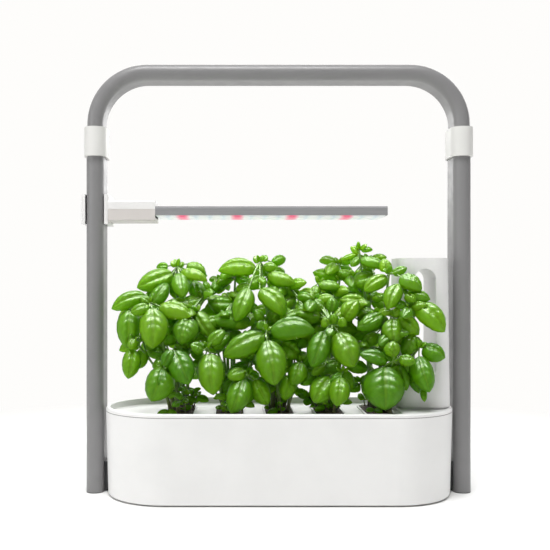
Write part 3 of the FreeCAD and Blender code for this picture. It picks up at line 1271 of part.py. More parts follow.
def stalk(path, radii):
    """A tapering faceted stem along a path, cut level at its foot."""
    points = []
    for i, place in enumerate(path):
        line = path[min(i + 1, len(path) - 1)] - path[max(i - 1, 0)]
        turn = FreeCAD.Rotation(Z_AXIS, line)
        for k in range(STEM_SIDES):
            angle = 2 * math.pi * k / STEM_SIDES
            offset = V(math.cos(angle), math.sin(angle), 0) * radii[i]
            points.append(place + turn.multVec(offset))
    triangles = []
    for i in range(len(path) - 1):
        for k in range(STEM_SIDES):
            a = i * STEM_SIDES + k
            b = i * STEM_SIDES + (k + 1) % STEM_SIDES
            triangles += [(a, b, b + STEM_SIDES), (a, b + STEM_SIDES, a + STEM_SIDES)]
    top = (len(path) - 1) * STEM_SIDES
    for k in range(1, STEM_SIDES - 1):
        triangles += [(0, k + 1, k), (top, top + k, top + k + 1)]
    return faceted(points, triangles)


def stem_path(foot, top):
    """A stem's way from the medium: straight up at first, then curving to its top."""
    rise = top.z - foot.z
    knee = foot + V(0, 0, rise * STEM_KNEE_SHARE)
    lean = STEM_MIDDLE_SHARE ** 2
    middle = foot + V((top.x - foot.x) * lean, (top.y - foot.y) * lean, rise * STEM_MIDDLE_SHARE)
    return [foot, knee, middle, top]


def main_stem(foot, top, radius):
    """A stem from the medium to a shoot, thinner toward its top."""
    return stalk(stem_path(foot, top), [radius * share for share in STEM_TAPER_SHARES])


def nearest_joint(point, tops):
    """The stem top or stem point that lies nearest to a blade's base."""
    return min(tops, key=lambda top: top.distanceToPoint(point))


def whorl_leaves(centre, turn, length, pairs):
    """The opposite leaf pairs of one shoot, each pair turned a right angle from the last."""
    found = []
    for k in range(pairs):
        size = length * (1 - WHORL_SHRINK_SHARE * k)
        lift = math.radians(WHORL_LOW + WHORL_STEP * k)
        for side in (0, 2):
            angle = math.radians(turn + RIGHT_ANGLE * (k + side))
            way = V(math.cos(angle) * math.cos(lift), math.sin(angle) * math.cos(lift), math.sin(lift))
            start = centre + way * (size * PETIOLE_SHARE) + V(0, 0, size * PETIOLE_SHARE * k)
            found.append((start, start + way * size, size * WHORL_WIDTH_SHARE))
    return found


def basil_plant(pod, x):
    """One plant: its stems, the leaves that the photograph shows and the shoots behind them."""
    solids = []
    tops = []
    for number, share_x, share_y, column, row, depth, thick in STEMS_PIXELS_SHARES:
        if number != pod:
            continue
        foot = V(x + share_x * CUP_WIDTH / 2, share_y * CUP_DEPTH / 2, PLUG_TOP)
        top = seen_point(column, row, depth)
        solids.append(main_stem(foot, top, STEM_RADIUS * thick))
        tops += stem_path(foot, top)[1:]
    leaves = []
    for column, row, tip_column, tip_row, width, depth, tip_depth, roll in LEAVES_PIXELS_SHARES[pod]:
        base = seen_point(column, row, depth)
        tip = seen_point(tip_column, tip_row, tip_depth)
        leaves.append((base, tip, width * PIXEL_WIDTH, roll))
    for number, across, depth, height, turn, length, pairs in WHORLS_SHARES:
        if number != pod:
            continue
        centre = V(x + across * POD_PITCH, depth * TUB_HALF_DEPTH, PLUG_TOP + height * CANOPY_HEIGHT)
        foot = V(x + across * CUP_WIDTH / 2, CUP_DEPTH / 2 * WHORL_ROOT_SHARE, PLUG_TOP)
        solids.append(main_stem(foot, centre, STEM_RADIUS))
        tops += stem_path(foot, centre)[2:]
        for start, tip, width in whorl_leaves(centre, turn, length * LEAF_LENGTH, pairs):
            leaves.append((start, tip, width, 0))
    for base, tip, width, roll in leaves:
        solids.append(blade(base, tip, width, roll))
        joint = nearest_joint(base, tops)
        if joint.distanceToPoint(base) > STEM_RADIUS:
            solids.append(stalk([joint, base], [PETIOLE_RADIUS, PETIOLE_RADIUS]))
    return group(solids)


def write_plants():
    """Write the five plants."""
    for pod, x in enumerate(POD_XS, 1):
        save("basil_plant_%d" % pod, basil_plant(pod, x))


def main():
    """Write every node."""
    os.makedirs("parts", exist_ok=True)
    write_tub_and_frame()
    write_lamp_jug_and_inside()
    write_plants()


main()
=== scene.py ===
"""Looks of a countertop hydroponic garden: a white tub, a grey tube frame, a lamp, a jug and basil.

Metres. +X is to the viewer's right, +Y goes away from the viewer and +Z is up.
"""
import json
import math
import random

import bpy
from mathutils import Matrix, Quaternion, Vector, noise

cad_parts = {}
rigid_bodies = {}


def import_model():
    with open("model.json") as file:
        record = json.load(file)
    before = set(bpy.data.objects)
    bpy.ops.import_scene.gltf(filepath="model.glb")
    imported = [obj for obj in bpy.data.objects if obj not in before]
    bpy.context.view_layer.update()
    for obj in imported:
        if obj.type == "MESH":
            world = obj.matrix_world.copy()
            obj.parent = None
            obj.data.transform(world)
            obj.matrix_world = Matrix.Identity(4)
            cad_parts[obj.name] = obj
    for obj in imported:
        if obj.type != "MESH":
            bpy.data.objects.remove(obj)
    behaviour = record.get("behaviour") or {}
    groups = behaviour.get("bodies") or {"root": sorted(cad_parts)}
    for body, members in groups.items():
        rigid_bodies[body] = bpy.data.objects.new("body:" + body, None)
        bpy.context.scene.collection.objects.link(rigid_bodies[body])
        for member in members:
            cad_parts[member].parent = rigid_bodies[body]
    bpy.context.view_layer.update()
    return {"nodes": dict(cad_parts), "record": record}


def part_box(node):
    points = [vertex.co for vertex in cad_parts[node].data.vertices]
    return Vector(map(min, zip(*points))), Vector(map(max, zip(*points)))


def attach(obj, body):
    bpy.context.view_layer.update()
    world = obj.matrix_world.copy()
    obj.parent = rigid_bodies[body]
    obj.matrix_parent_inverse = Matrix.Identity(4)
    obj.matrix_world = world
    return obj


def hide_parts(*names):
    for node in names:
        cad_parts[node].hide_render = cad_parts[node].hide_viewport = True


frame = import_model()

NODES = frame["nodes"]
MM = 0.001
UP = Vector((0, 0, 1))

# Camera: level, in front of the garden and a little to the left
CAMERA_PLACE = (-0.0512, -1.02, 0.2476)
CAMERA_LENS = 55.64
CAMERA_SENSOR = 36.0
CAMERA_SHIFT = (0.0711, 0.0189)

# Each layer of the world is: its colour, the Y from and to which its strength changes, the two
# strengths, and the rays that see it instead of the layers before it.
BACKGROUND = (0.991, 0.983, 0.966)
FADE_INPUTS = ("From Min", "From Max", "To Min", "To Max")
WORLD_LAYERS = (
    ((1.0, 1.0, 1.0), (-0.45, 0.35, 0.2, 0.8), ()),
    (BACKGROUND, (-0.1, 0.75, 0.03, 1.0), ("Is Glossy Ray",)),
    (BACKGROUND, (-0.45, 0.35, 1.0, 1.0), ("Is Camera Ray", "Is Transmission Ray")),
)

# Each lamp is: its place, the point that it faces, its width and height, and its power.
LAMPS = {
    "top_light": ((-0.15, -0.75, 2.25), (0, 0, 0.15), (1.1, 0.8), 45.0),
    "left_light": ((-1.7, -1.1, 0.7), (0, 0, 0.2), (0.9, 0.9), 7.5),
    "back_light": ((0.3, 1.3, 0.9), (0, 0, 0.25), (1.6, 0.9), 13.0),
    "sheen_light": ((0, -0.1, 1.5), (0, 0, 0.2), (1.6, 1.1), 290.0),
}

# Floor: the fade is how far out the background takes over
FLOOR_REACH = 6.0
FLOOR_COLOUR = (0.9, 0.9, 0.89)
FLOOR_FADE = (0.42, 0.85)

# Each plastic is: its colour, its roughness, the depth of its grain and its unevenness in tone.
PLASTICS = {
    "white_shell": ((0.835, 0.83, 0.822), 0.42, 0.06, 0.03),
    "cup_white": ((0.8, 0.8, 0.79), 0.45, 0.08, 0.03),
    "collar_white": ((0.71, 0.705, 0.68), 0.5, 0.08, 0.03),
    "dark_rubber": ((0.03, 0.03, 0.031), 0.8, 0.25, 0.15),
    "black_plastic": ((0.03, 0.031, 0.033), 0.5, 0.2, 0.15),
    "clamp_white": ((0.8, 0.79, 0.78), 0.42, 0.08, 0.03),
    "jug_white": ((0.78, 0.775, 0.765), 0.4, 0.06, 0.03),
    "pipe_grey": ((0.36, 0.37, 0.38), 0.5, 0.12, 0.03),
    "socket_black": ((0.035, 0.035, 0.036), 0.4, 0.1, 0.15),
}
# Painted shade: the arm's underside is a darker, warmer white than its top, standing in for the
# shade of its down-facing face.
ARM_UNDERSIDE_SHADED = ((0.62, 0.585, 0.562), 0.45, 0.08, 0.03)  # warmer and darker than the arm's top
GLOSS_DRIFT = 0.12
FRAME_GREY = (0.222, 0.219, 0.221)
BAR_GREY = (0.262, 0.262, 0.268)
NOISE_REACH = (0.3, 0.7)  # most of a noise lies in this range
FINE_RELIEF = 0.1 * MM

# Lamp: the tray's tones and its pink glows, which are full and end at shares of their pitch
TRAY_TONES = ((0.6, 0.66, 0.71), (0.78, 0.79, 0.8))
PINK_GLOW = (0.9, 0.16, 0.28)
FIRST_GLOW = -115.0 * MM
GLOW_PITCH = 65.5 * MM
GLOW_SHARES = (0.024, 0.16)
CHIP_WAVES = 190.0

# Tub and pods, as the solids have them; the joint line is the shadow under the deck's lip
JOINT_LINE = (99.1 * MM, 99.4 * MM)
JOINT_SHADE = (0.2, 0.19, 0.185)
TUB_HALF_DEPTH = 75.5 * MM
CUP_WIDTH = 35.0 * MM
CUP_DEPTH = 92.0 * MM
POD_PITCH = 58.5 * MM

# The photograph's own measures, which place the leaves: the columns and rows of the point
# straight ahead of the camera and of the garden's middle at its foot
PIXEL_SIZE = 1.2 * MM
VIEW_DISTANCE = 1020.0 * MM
VIEW_PIXELS = (235.9, 285.4)
ORIGIN_PIXELS = (278.6, 491.7)

# Leaf tones: dark and light are for old leaves and new growth, from the darkest leaf to the palest;
# light is also painted backlight on leaves high up and toward the back.
# Each mark is: its strength and its tone.
LEAF_DARK = ((0.062, 0.23, 0.0003), (0.185, 0.405, 0.0008))
LEAF_LIGHT = ((0.25, 0.58, 0.002), (0.43, 0.74, 0.01))
LEAF_MARKS = {
    "vein": (0.28, (0.2, 0.43, 0.004)),
    "rib": (0.4, (0.3, 0.53, 0.012)),
    "rim": (0.45, (0.33, 0.57, 0.012)),
    "under": (0.45, (0.17, 0.37, 0.006)),
}
LEAF_THROUGH = (0.52, 0.95, 0.01)
THROUGH_SHARE = 0.4
THROUGH_TINT = 0.65
STEM_GREENS = ((0.085, 0.22, 0.02), (0.26, 0.45, 0.07))
STEM_BROWNS = ((0.06, 0.04, 0.022), (0.17, 0.125, 0.06))
STEM_BROWN_RISE = 45.0 * MM
STEM_BROWN_SHARE = 0.85

# Leaf shape: arch, bend and tip drop are shares of a leaf's length, pillow and crease of its
# width; a ramp is how quickly a relief grows to its full height
LEAF_VALUES = ("along", "across", "young_and_backlit", "tone", "under")
LEAF_LENGTH = 44.0 * MM
LEAF_FACING = Vector((0, -0.78, 0.62))
FACING_LIMIT = 0.1
LEAF_PROFILE = ((0, 0.0), (0.03, 0.4), (0.1, 0.74), (0.22, 0.98), (0.38, 1.1),
                (0.56, 1.06), (0.73, 0.88), (0.86, 0.6), (0.94, 0.32), (1.0, 0.0))
LEAF_STATIONS = 26
LEAF_COLUMNS = 7
LEAF_SKIN = 0.45 * MM
LEAF_ARCH = 0.19
ARCH_SPREAD = (0.8, 1.25)
LEAF_CUP = 0.8
CUP_SPREAD = (0.8, 1.2)
CUP_NARROWING = 0.12
LEAF_CURL = 3.0
LEAF_TWIST = 0.12
LEAF_BEND_SHARE = 0.05
TIP_DROP = 0.55
TIP_DROP_START = 0.6
LEAF_PILLOW = 0.065
PILLOW_RAMP = 5
LEAF_CREASE = 0.09
CREASE_HALF = 0.13
CREASE_RUN = 1.1
RELIEF_RAMP = 4
VEIN_PAIRS = 5.0
VEIN_LEAN = 1.25

# Small leaves; one that is shorter than SMALL_LEAF has the coarser mesh
BUD_LEAF = 9.0 * MM
BUD_LEAVES = 4
SMALL_LEAF = 11.7 * MM
BUD_STATIONS = 8
BUD_COLUMNS = 3
BUD_FLATNESS = 0.45
BUD_LIFTS = (38, 60)
BUD_SPREAD = (0.75, 1.2)
BUD_START_SHARE = 0.1
BUD_WIDTH_SHARE = 0.62
TO_VIEWER = 0.2

# Stems, stalks and shoots
CANOPY_FLOOR = 97.6 * MM
CANOPY_HEIGHT = 200.0 * MM
STEM_RADIUS = 2.2 * MM
STEM_TAPER_SHARES = (1.5, 1.15, 0.8, 0.5)
STEM_KNEE_SHARE = 0.12
STEM_MIDDLE_SHARE = 0.6
STEM_STEPS = 5
STEM_SIDES = 8
STALK_RADIUS = 1.0 * MM
STALK_TAPER_SHARES = (1, 0.85, 0.8, 0.4)
STALK_BOW_SHARE = 0.08
STALK_REACH_SHARE = 0.12
PETIOLE_SHARE = 0.12
WHORL_SHRINK_SHARE = 0.24
WHORL_LOW = -18.0
WHORL_STEP = 26.0
WHORL_WIDTH_SHARE = 0.6
WHORL_ROOT_SHARE = 0.6
SIDE_SHOOT_RADIUS = 1.3 * MM
SIDE_TAPER_SHARES = (1, 0.9, 0.7)
SIDE_BOW_SHARE = 0.15
SIDE_LEAF_WIDTH_SHARE = 1.1
SIDE_SHOOT_DROP = 12.0 * MM  # a side shoot leaves its stem at least this far below its own top
LOW_SHOOTS = 16
LOW_SHOOT_SEED = 500
LOW_SHOOT_RISE = (3.0 * MM, 30.0 * MM)
LOW_FOOT_X_SHARES = (-0.8, 0.8)
LOW_FOOT_Y_SHARES = (-0.9, 0.7)
LOW_LEAN_X = (-0.4, 0.4)
LOW_LEAN_Y = (-0.4, 0.2)
LOW_STEM_RADIUS = 0.9 * MM
LOW_TAPER_SHARES = (1, 0.7)
LOW_LEAF = (8.0 * MM, 15.0 * MM)
LOW_LEAF_LIFT = (-0.5, 0.35)

# How pale a leaf is painted: by its height, for new growth and painted backlight, and by how far
# back it is, for painted backlight alone
PALE_START_SHARE = 0.35
YOUTH_AND_BACKLIGHT_BY_HEIGHT = 0.45
BACKLIGHT_BY_DEPTH = 0.75
PALE_OFFSET = 0.12

# Grow medium; each row of crumbs is the scale of a noise and its height
MOUND_RISE = 3.0 * MM
MOUND_EDGE = 2.0 * MM
MOUND_RINGS = 15
MOUND_SIDES = 96
MOUND_SQUARENESS = 5.0
DOME_POWER = 3
EDGE_POWER = 6
CRUMB_POWER = 8
CRUMB_HEIGHTS = ((160.0, 1.6 * MM), (420.0, 0.9 * MM))

# These tables are by pod, from the left. Each leaf is: column and row of the blade's base and of
# its tip, its width, the depths of base and tip, and its roll. Columns, rows and widths are
# pixels of the photograph, depths are shares of the tub's half depth, rolls are degrees.
LEAVES_PIXELS_SHARES = {
    1: (
        (164, 368, 161, 391, 12, -0.82, -0.94, 0), (173, 273, 137, 287, 23, -0.15, -0.3, -25),
        (168, 266, 156, 267, 10, 0.02, 0.05, -20), (187, 264, 207, 273, 17, 0.0, 0.05, -25),
        (181, 271, 208, 279, 16, -0.2, -0.3, -20), (179, 273, 183, 296, 19, -0.25, -0.5, 0),
        (194, 281, 202, 304, 17, -0.05, -0.15, 10), (151, 304, 168, 282, 17, -0.5, -0.3, 10),
        (146, 295, 111, 308, 19, -0.42, -0.5, -20), (150, 306, 131, 312, 13, -0.62, -0.74, -10),
        (159, 306, 192, 315, 22, -0.52, -0.6, -10), (166, 303, 195, 308, 19, -0.35, -0.32, -15),
        (130, 309, 127, 348, 24, -0.5, -0.56, -10), (152, 308, 152, 348, 29, -0.66, -0.84, 0),
        (133, 349, 128, 379, 18, -0.6, -0.66, -10), (142, 349, 138, 369, 15, -0.5, -0.44, 15),
        (164, 366, 151, 401, 29, -0.76, -0.92, -8), (164, 366, 172, 350, 13, -0.84, -0.9, 25),
        (174, 351, 189, 384, 25, -0.78, -0.92, 8), (168, 372, 165, 397, 12, -0.5, -0.48, 30),
        (190, 317, 181, 344, 27, -0.56, -0.7, 0), (184, 318, 170, 326, 14, -0.34, -0.28, 0),
        (172, 330, 163, 345, 17, -0.36, -0.3, 10), (177, 266, 171, 261, 8, -0.1, -0.1, 0),
        (178, 266, 184, 262, 7, -0.06, -0.04, 0), (134, 338, 131, 349, 11, -0.62, -0.72, 0),
        (150, 303, 141, 297, 10, -0.52, -0.56, 0),
    ),
    2: (
        (195, 312, 215, 340, 18, -0.44, -0.46, 35), (210, 353, 213, 395, 27, -0.74, -0.86, 6),
        (208, 343, 224, 330, 14, -0.74, -0.76, 10), (212, 348, 230, 332, 16, -0.6, -0.5, 20),
        (204, 350, 191, 344, 13, -0.7, -0.8, 0), (206, 354, 200, 366, 10, -0.6, -0.62, 0),
        (233, 304, 208, 303, 19, -0.2, -0.14, -15), (250, 320, 211, 319, 21, -0.36, -0.46, -12),
        (209, 293, 204, 280, 8, 0.3, 0.34, 0), (212, 292, 216, 278, 8, 0.34, 0.38, 0),
        (216, 293, 230, 280, 9, 0.36, 0.4, 0), (214, 297, 201, 290, 11, 0.22, 0.2, 0),
        (245, 370, 228, 377, 15, -0.72, -0.84, -8), (244, 378, 231, 413, 24, -0.7, -0.86, -8),
        (248, 378, 242, 406, 19, -0.58, -0.62, 14), (255, 379, 268, 405, 20, -0.6, -0.66, 10),
        (231, 300, 222, 293, 12, -0.06, 0.02, 0), (238, 377, 222, 393, 14, -0.42, -0.34, 0),
    ),
    3: (
        (256, 267, 218, 269, 21, -0.2, -0.24, -8), (268, 273, 296, 282, 18, -0.2, -0.26, -10),
        (263, 266, 277, 266, 11, -0.2, -0.22, -5), (260, 277, 265, 284, 10, -0.3, -0.4, 0),
        (249, 288, 235, 321, 20, -0.44, -0.62, -6), (260, 289, 286, 315, 21, -0.42, -0.56, 10),
        (250, 286, 235, 289, 12, -0.2, -0.1, -20), (268, 289, 302, 294, 18, -0.02, 0.06, -15),
        (288, 285, 302, 286, 10, 0.16, 0.2, 0), (272, 262, 286, 257, 12, 0.06, 0.14, 0),
        (265, 334, 223, 355, 25, -0.64, -0.8, -8), (270, 330, 315, 328, 25, -0.62, -0.72, -10),
        (267, 340, 275, 385, 31, -0.7, -0.9, 4), (282, 342, 300, 357, 21, -0.48, -0.44, 10),
        (264, 320, 254, 309, 12, -0.44, -0.46, 0), (270, 322, 279, 306, 16, -0.36, -0.28, 0),
        (263, 328, 259, 321, 9, -0.68, -0.72, 0), (290, 375, 284, 401, 18, -0.5, -0.52, -10),
        (301, 362, 292, 385, 20, -0.58, -0.64, -6), (260, 262, 254, 256, 9, -0.18, -0.16, 0),
        (262, 261, 267, 255, 8, -0.16, -0.12, 0),
    ),
    4: (
        (325, 331, 312, 367, 23, -0.68, -0.82, -8), (338, 332, 354, 367, 29, -0.7, -0.88, 8),
        (321, 317, 292, 312, 19, -0.48, -0.48, -12), (326, 309, 314, 299, 14, -0.46, -0.44, 0),
        (331, 312, 332, 297, 14, -0.5, -0.52, 0), (343, 320, 358, 300, 18, -0.56, -0.6, 10),
        (318, 284, 342, 287, 15, 0.0, -0.06, -10), (316, 285, 314, 299, 10, -0.06, -0.14, 0),
        (338, 281, 313, 271, 16, 0.24, 0.3, -10), (342, 280, 354, 271, 13, 0.26, 0.32, 0),
        (366, 303, 340, 299, 20, -0.3, -0.3, -8), (343, 373, 331, 380, 9, -0.72, -0.8, 0),
        (330, 377, 314, 402, 24, -0.66, -0.8, -8), (341, 377, 337, 406, 21, -0.8, -0.92, 0),
        (325, 365, 311, 374, 11, -0.5, -0.56, 0), (345, 371, 352, 390, 13, -0.46, -0.44, 10),
        (328, 326, 324, 318, 10, -0.7, -0.78, 0), (333, 324, 334, 314, 9, -0.66, -0.74, 0),
        (339, 326, 343, 318, 10, -0.7, -0.8, 0), (332, 328, 328, 335, 9, -0.8, -0.88, 0),
    ),
    5: (
        (414, 334, 403, 356, 17, -0.62, -0.66, 0), (374, 275, 352, 284, 21, -0.06, -0.1, -12),
        (387, 276, 364, 290, 16, -0.42, -0.5, -8), (360, 259, 387, 267, 14, -0.14, -0.2, -14),
        (386, 272, 384, 258, 13, -0.4, -0.34, 0), (392, 273, 407, 267, 10, -0.54, -0.56, 0),
        (400, 276, 423, 288, 20, -0.62, -0.72, -8), (399, 284, 388, 308, 18, -0.66, -0.8, -4),
        (407, 292, 431, 298, 14, -0.62, -0.68, -6), (406, 293, 416, 301, 11, -0.68, -0.76, 0),
        (417, 303, 446, 331, 24, -0.64, -0.76, 10), (384, 314, 357, 328, 18, -0.54, -0.66, -8),
        (394, 318, 394, 343, 21, -0.66, -0.82, 0), (399, 315, 420, 334, 20, -0.58, -0.64, 6),
        (377, 333, 362, 345, 15, -0.44, -0.42, 0), (388, 361, 360, 353, 16, -0.76, -0.84, -10),
        (394, 357, 393, 341, 17, -0.86, -0.9, 0), (399, 358, 416, 361, 13, -0.84, -0.92, 0),
        (385, 366, 386, 410, 42, -0.8, -0.96, 0), (397, 365, 407, 391, 15, -0.66, -0.66, 20),
        (423, 346, 446, 357, 20, -0.66, -0.72, 6), (419, 356, 430, 392, 24, -0.7, -0.86, 8),
        (410, 364, 419, 394, 15, -0.56, -0.58, 25), (417, 345, 412, 337, 14, -0.62, -0.6, 0),
        (360, 254, 351, 246, 8, -0.12, -0.12, 0), (361, 250, 373, 249, 7, -0.1, -0.1, 0),
        (357, 254, 341, 259, 7, -0.12, -0.16, 0), (358, 257, 351, 266, 9, -0.16, -0.24, 0),
        (424, 388, 425, 402, 7, -0.72, -0.76, 0), (392, 316, 400, 308, 10, -0.62, -0.62, 0),
        (381, 338, 392, 346, 15, -0.5, -0.52, 0),
    ),
}

# Each stem is: the place of its root as shares of the cup's half width and half depth, the
# column and row of its top, the depth share there, and its thickness share.
STEMS_PIXELS_SHARES = {
    1: (
        (-0.25, 0.2, 177, 267, -0.1, 1.0), (-0.55, -0.3, 149, 303, -0.5, 1.0),
        (-0.7, -0.55, 134, 341, -0.6, 0.8), (-0.1, -0.6, 164, 366, -0.78, 0.9),
        (0.45, -0.05, 189, 317, -0.45, 0.9),
    ),
    2: (
        (-0.45, -0.5, 208, 348, -0.68, 0.9), (0.3, 0.1, 233, 302, -0.15, 1.0),
        (-0.2, 0.6, 213, 294, 0.3, 0.8), (0.55, -0.6, 247, 374, -0.64, 0.8),
        (0.0, -0.2, 196, 312, -0.4, 0.8),
    ),
    3: (
        (-0.4, -0.05, 260, 262, -0.2, 1.1), (0.0, -0.5, 266, 331, -0.62, 1.0),
        (0.45, 0.3, 287, 286, 0.05, 0.8), (0.6, -0.45, 302, 362, -0.5, 0.8),
    ),
    4: (
        (-0.3, -0.4, 332, 325, -0.62, 1.0), (-0.45, 0.4, 320, 284, 0.1, 0.9),
        (0.35, 0.55, 340, 280, 0.25, 0.8), (0.3, -0.6, 343, 372, -0.7, 0.8),
    ),
    5: (
        (-0.3, 0.05, 359, 250, -0.12, 0.9), (0.1, -0.25, 389, 274, -0.46, 1.1),
        (0.2, -0.45, 391, 316, -0.58, 0.9), (0.5, -0.55, 408, 296, -0.64, 0.8),
        (0.0, -0.65, 393, 361, -0.78, 1.0), (0.65, -0.7, 419, 348, -0.66, 0.9),
    ),
}

# Each whorl behind the front ones is: its place across as a share of the pods' pitch, its depth
# share, its height as a share of the canopy's, its turn in degrees, its leaf length as a share
# of the longest leaf's and its count of leaf pairs.
WHORLS_SHARES = {
    1: (
        (-0.75, 0.28, 0.62, 20, 0.75, 2), (0.05, 0.5, 0.78, 65, 0.8, 3),
        (-0.4, 0.54, 0.42, 35, 0.72, 2),
    ),
    2: ((-0.1, 0.52, 0.6, 10, 0.8, 3), (0.12, 0.26, 0.84, 50, 0.58, 2)),
    3: ((-0.2, 0.5, 0.8, 40, 0.8, 3), (0.3, 0.54, 0.48, 80, 0.72, 2)),
    4: (
        (-0.25, 0.55, 0.64, 15, 0.8, 3), (0.3, 0.48, 0.88, 60, 0.72, 2),
        (0.15, 0.32, 0.34, 30, 0.65, 2),
    ),
    5: (
        (-0.2, 0.5, 0.7, 30, 0.78, 3), (-0.1, 0.28, 0.9, 75, 0.6, 2),
        (-0.05, 0.56, 0.4, 55, 0.7, 2),
    ),
}

# Each side shoot inside the canopy is: the first five values of a whorl.
SIDE_SHOOTS_SHARES = {
    1: (
        (0.12, -0.28, 0.55, 15, 0.8), (-0.55, -0.05, 0.56, 60, 0.75), (0.38, 0.05, 0.42, 40, 0.8),
        (-0.25, -0.3, 0.33, 75, 0.72), (0.5, -0.12, 0.68, 20, 0.7), (-0.3, 0.1, 0.74, 50, 0.75),
        (0.2, -0.45, 0.38, 55, 0.6), (-0.75, -0.25, 0.42, 10, 0.6), (-0.22, 0.1, 0.18, 55, 0.5),
        (0.3, -0.1, 0.09, 10, 0.36),
    ),
    2: (
        (-0.3, -0.1, 0.5, 35, 0.8), (0.25, -0.28, 0.44, 70, 0.75), (0.05, 0.12, 0.66, 10, 0.75),
        (0.45, -0.32, 0.3, 30, 0.7), (-0.45, -0.3, 0.27, 55, 0.62), (0.45, 0.05, 0.58, 80, 0.75),
        (-0.1, -0.42, 0.56, 0, 0.6), (0.1, -0.1, 0.2, 20, 0.55), (0.08, 0.3, 0.8, 20, 0.5),
        (-0.18, 0.42, 0.77, 65, 0.48), (0.27, 0.18, 0.23, 30, 0.55),
    ),
    3: (
        (0.0, -0.16, 0.55, 25, 0.8), (-0.35, 0.02, 0.4, 65, 0.8), (0.4, -0.22, 0.47, 5, 0.78),
        (0.38, 0.1, 0.68, 45, 0.75), (-0.1, -0.36, 0.25, 80, 0.62), (0.3, -0.3, 0.32, 35, 0.65),
        (0.15, -0.02, 0.74, 60, 0.72), (0.48, -0.4, 0.6, 20, 0.6), (-0.2, 0.1, 0.16, 60, 0.45),
        (0.3, 0.05, 0.12, 15, 0.42),
    ),
    4: (
        (0.0, -0.22, 0.53, 15, 0.85), (-0.38, 0.0, 0.46, 55, 0.78), (0.42, -0.12, 0.44, 75, 0.78),
        (0.12, 0.15, 0.69, 35, 0.78), (0.28, -0.36, 0.31, 10, 0.66), (-0.25, -0.3, 0.24, 50, 0.58),
        (-0.3, -0.38, 0.66, 70, 0.6), (0.45, -0.35, 0.62, 40, 0.62), (-0.22, 0.2, 0.2, 40, 0.52),
        (-0.4, -0.1, 0.08, 75, 0.36), (0.22, 0.12, 0.21, 20, 0.48),
    ),
    5: (
        (-0.45, -0.08, 0.56, 20, 0.78), (-0.35, -0.3, 0.38, 0, 0.72), (-0.12, 0.02, 0.66, 45, 0.66),
        (-0.1, -0.44, 0.58, 50, 0.58), (0.22, -0.62, 0.46, 40, 0.55), (0.5, -0.66, 0.62, 65, 0.55),
        (-0.4, 0.2, 0.8, 75, 0.66), (0.35, -0.64, 0.3, 15, 0.5), (-0.3, 0.12, 0.16, 45, 0.48),
    ),
}


class ShaderTree:
    """The shader nodes of a material or of the world."""

    def __init__(self, tree):
        self.tree = tree

    def add(self, kind, **values):
        """A node with the given properties and input values."""
        node = self.tree.nodes.new(kind)
        for name, value in values.items():
            if name in node.inputs:
                node.inputs[name].default_value = value
            else:
                setattr(node, name, value)
        return node

    def link(self, source, target):
        """Join an output to an input."""
        self.tree.links.new(source, target)

    def feed(self, node, index, value):
        """Give a node's input a value or another node's output."""
        if isinstance(value, bpy.types.NodeSocket):
            self.link(value, node.inputs[index])
        else:
            node.inputs[index].default_value = value

    def blend(self, share, first, second):
        """A share of one shader over another."""
        node = self.add("ShaderNodeMixShader")
        for index, value in enumerate((share, first, second)):
            self.feed(node, index, value)
        return node.outputs[0]


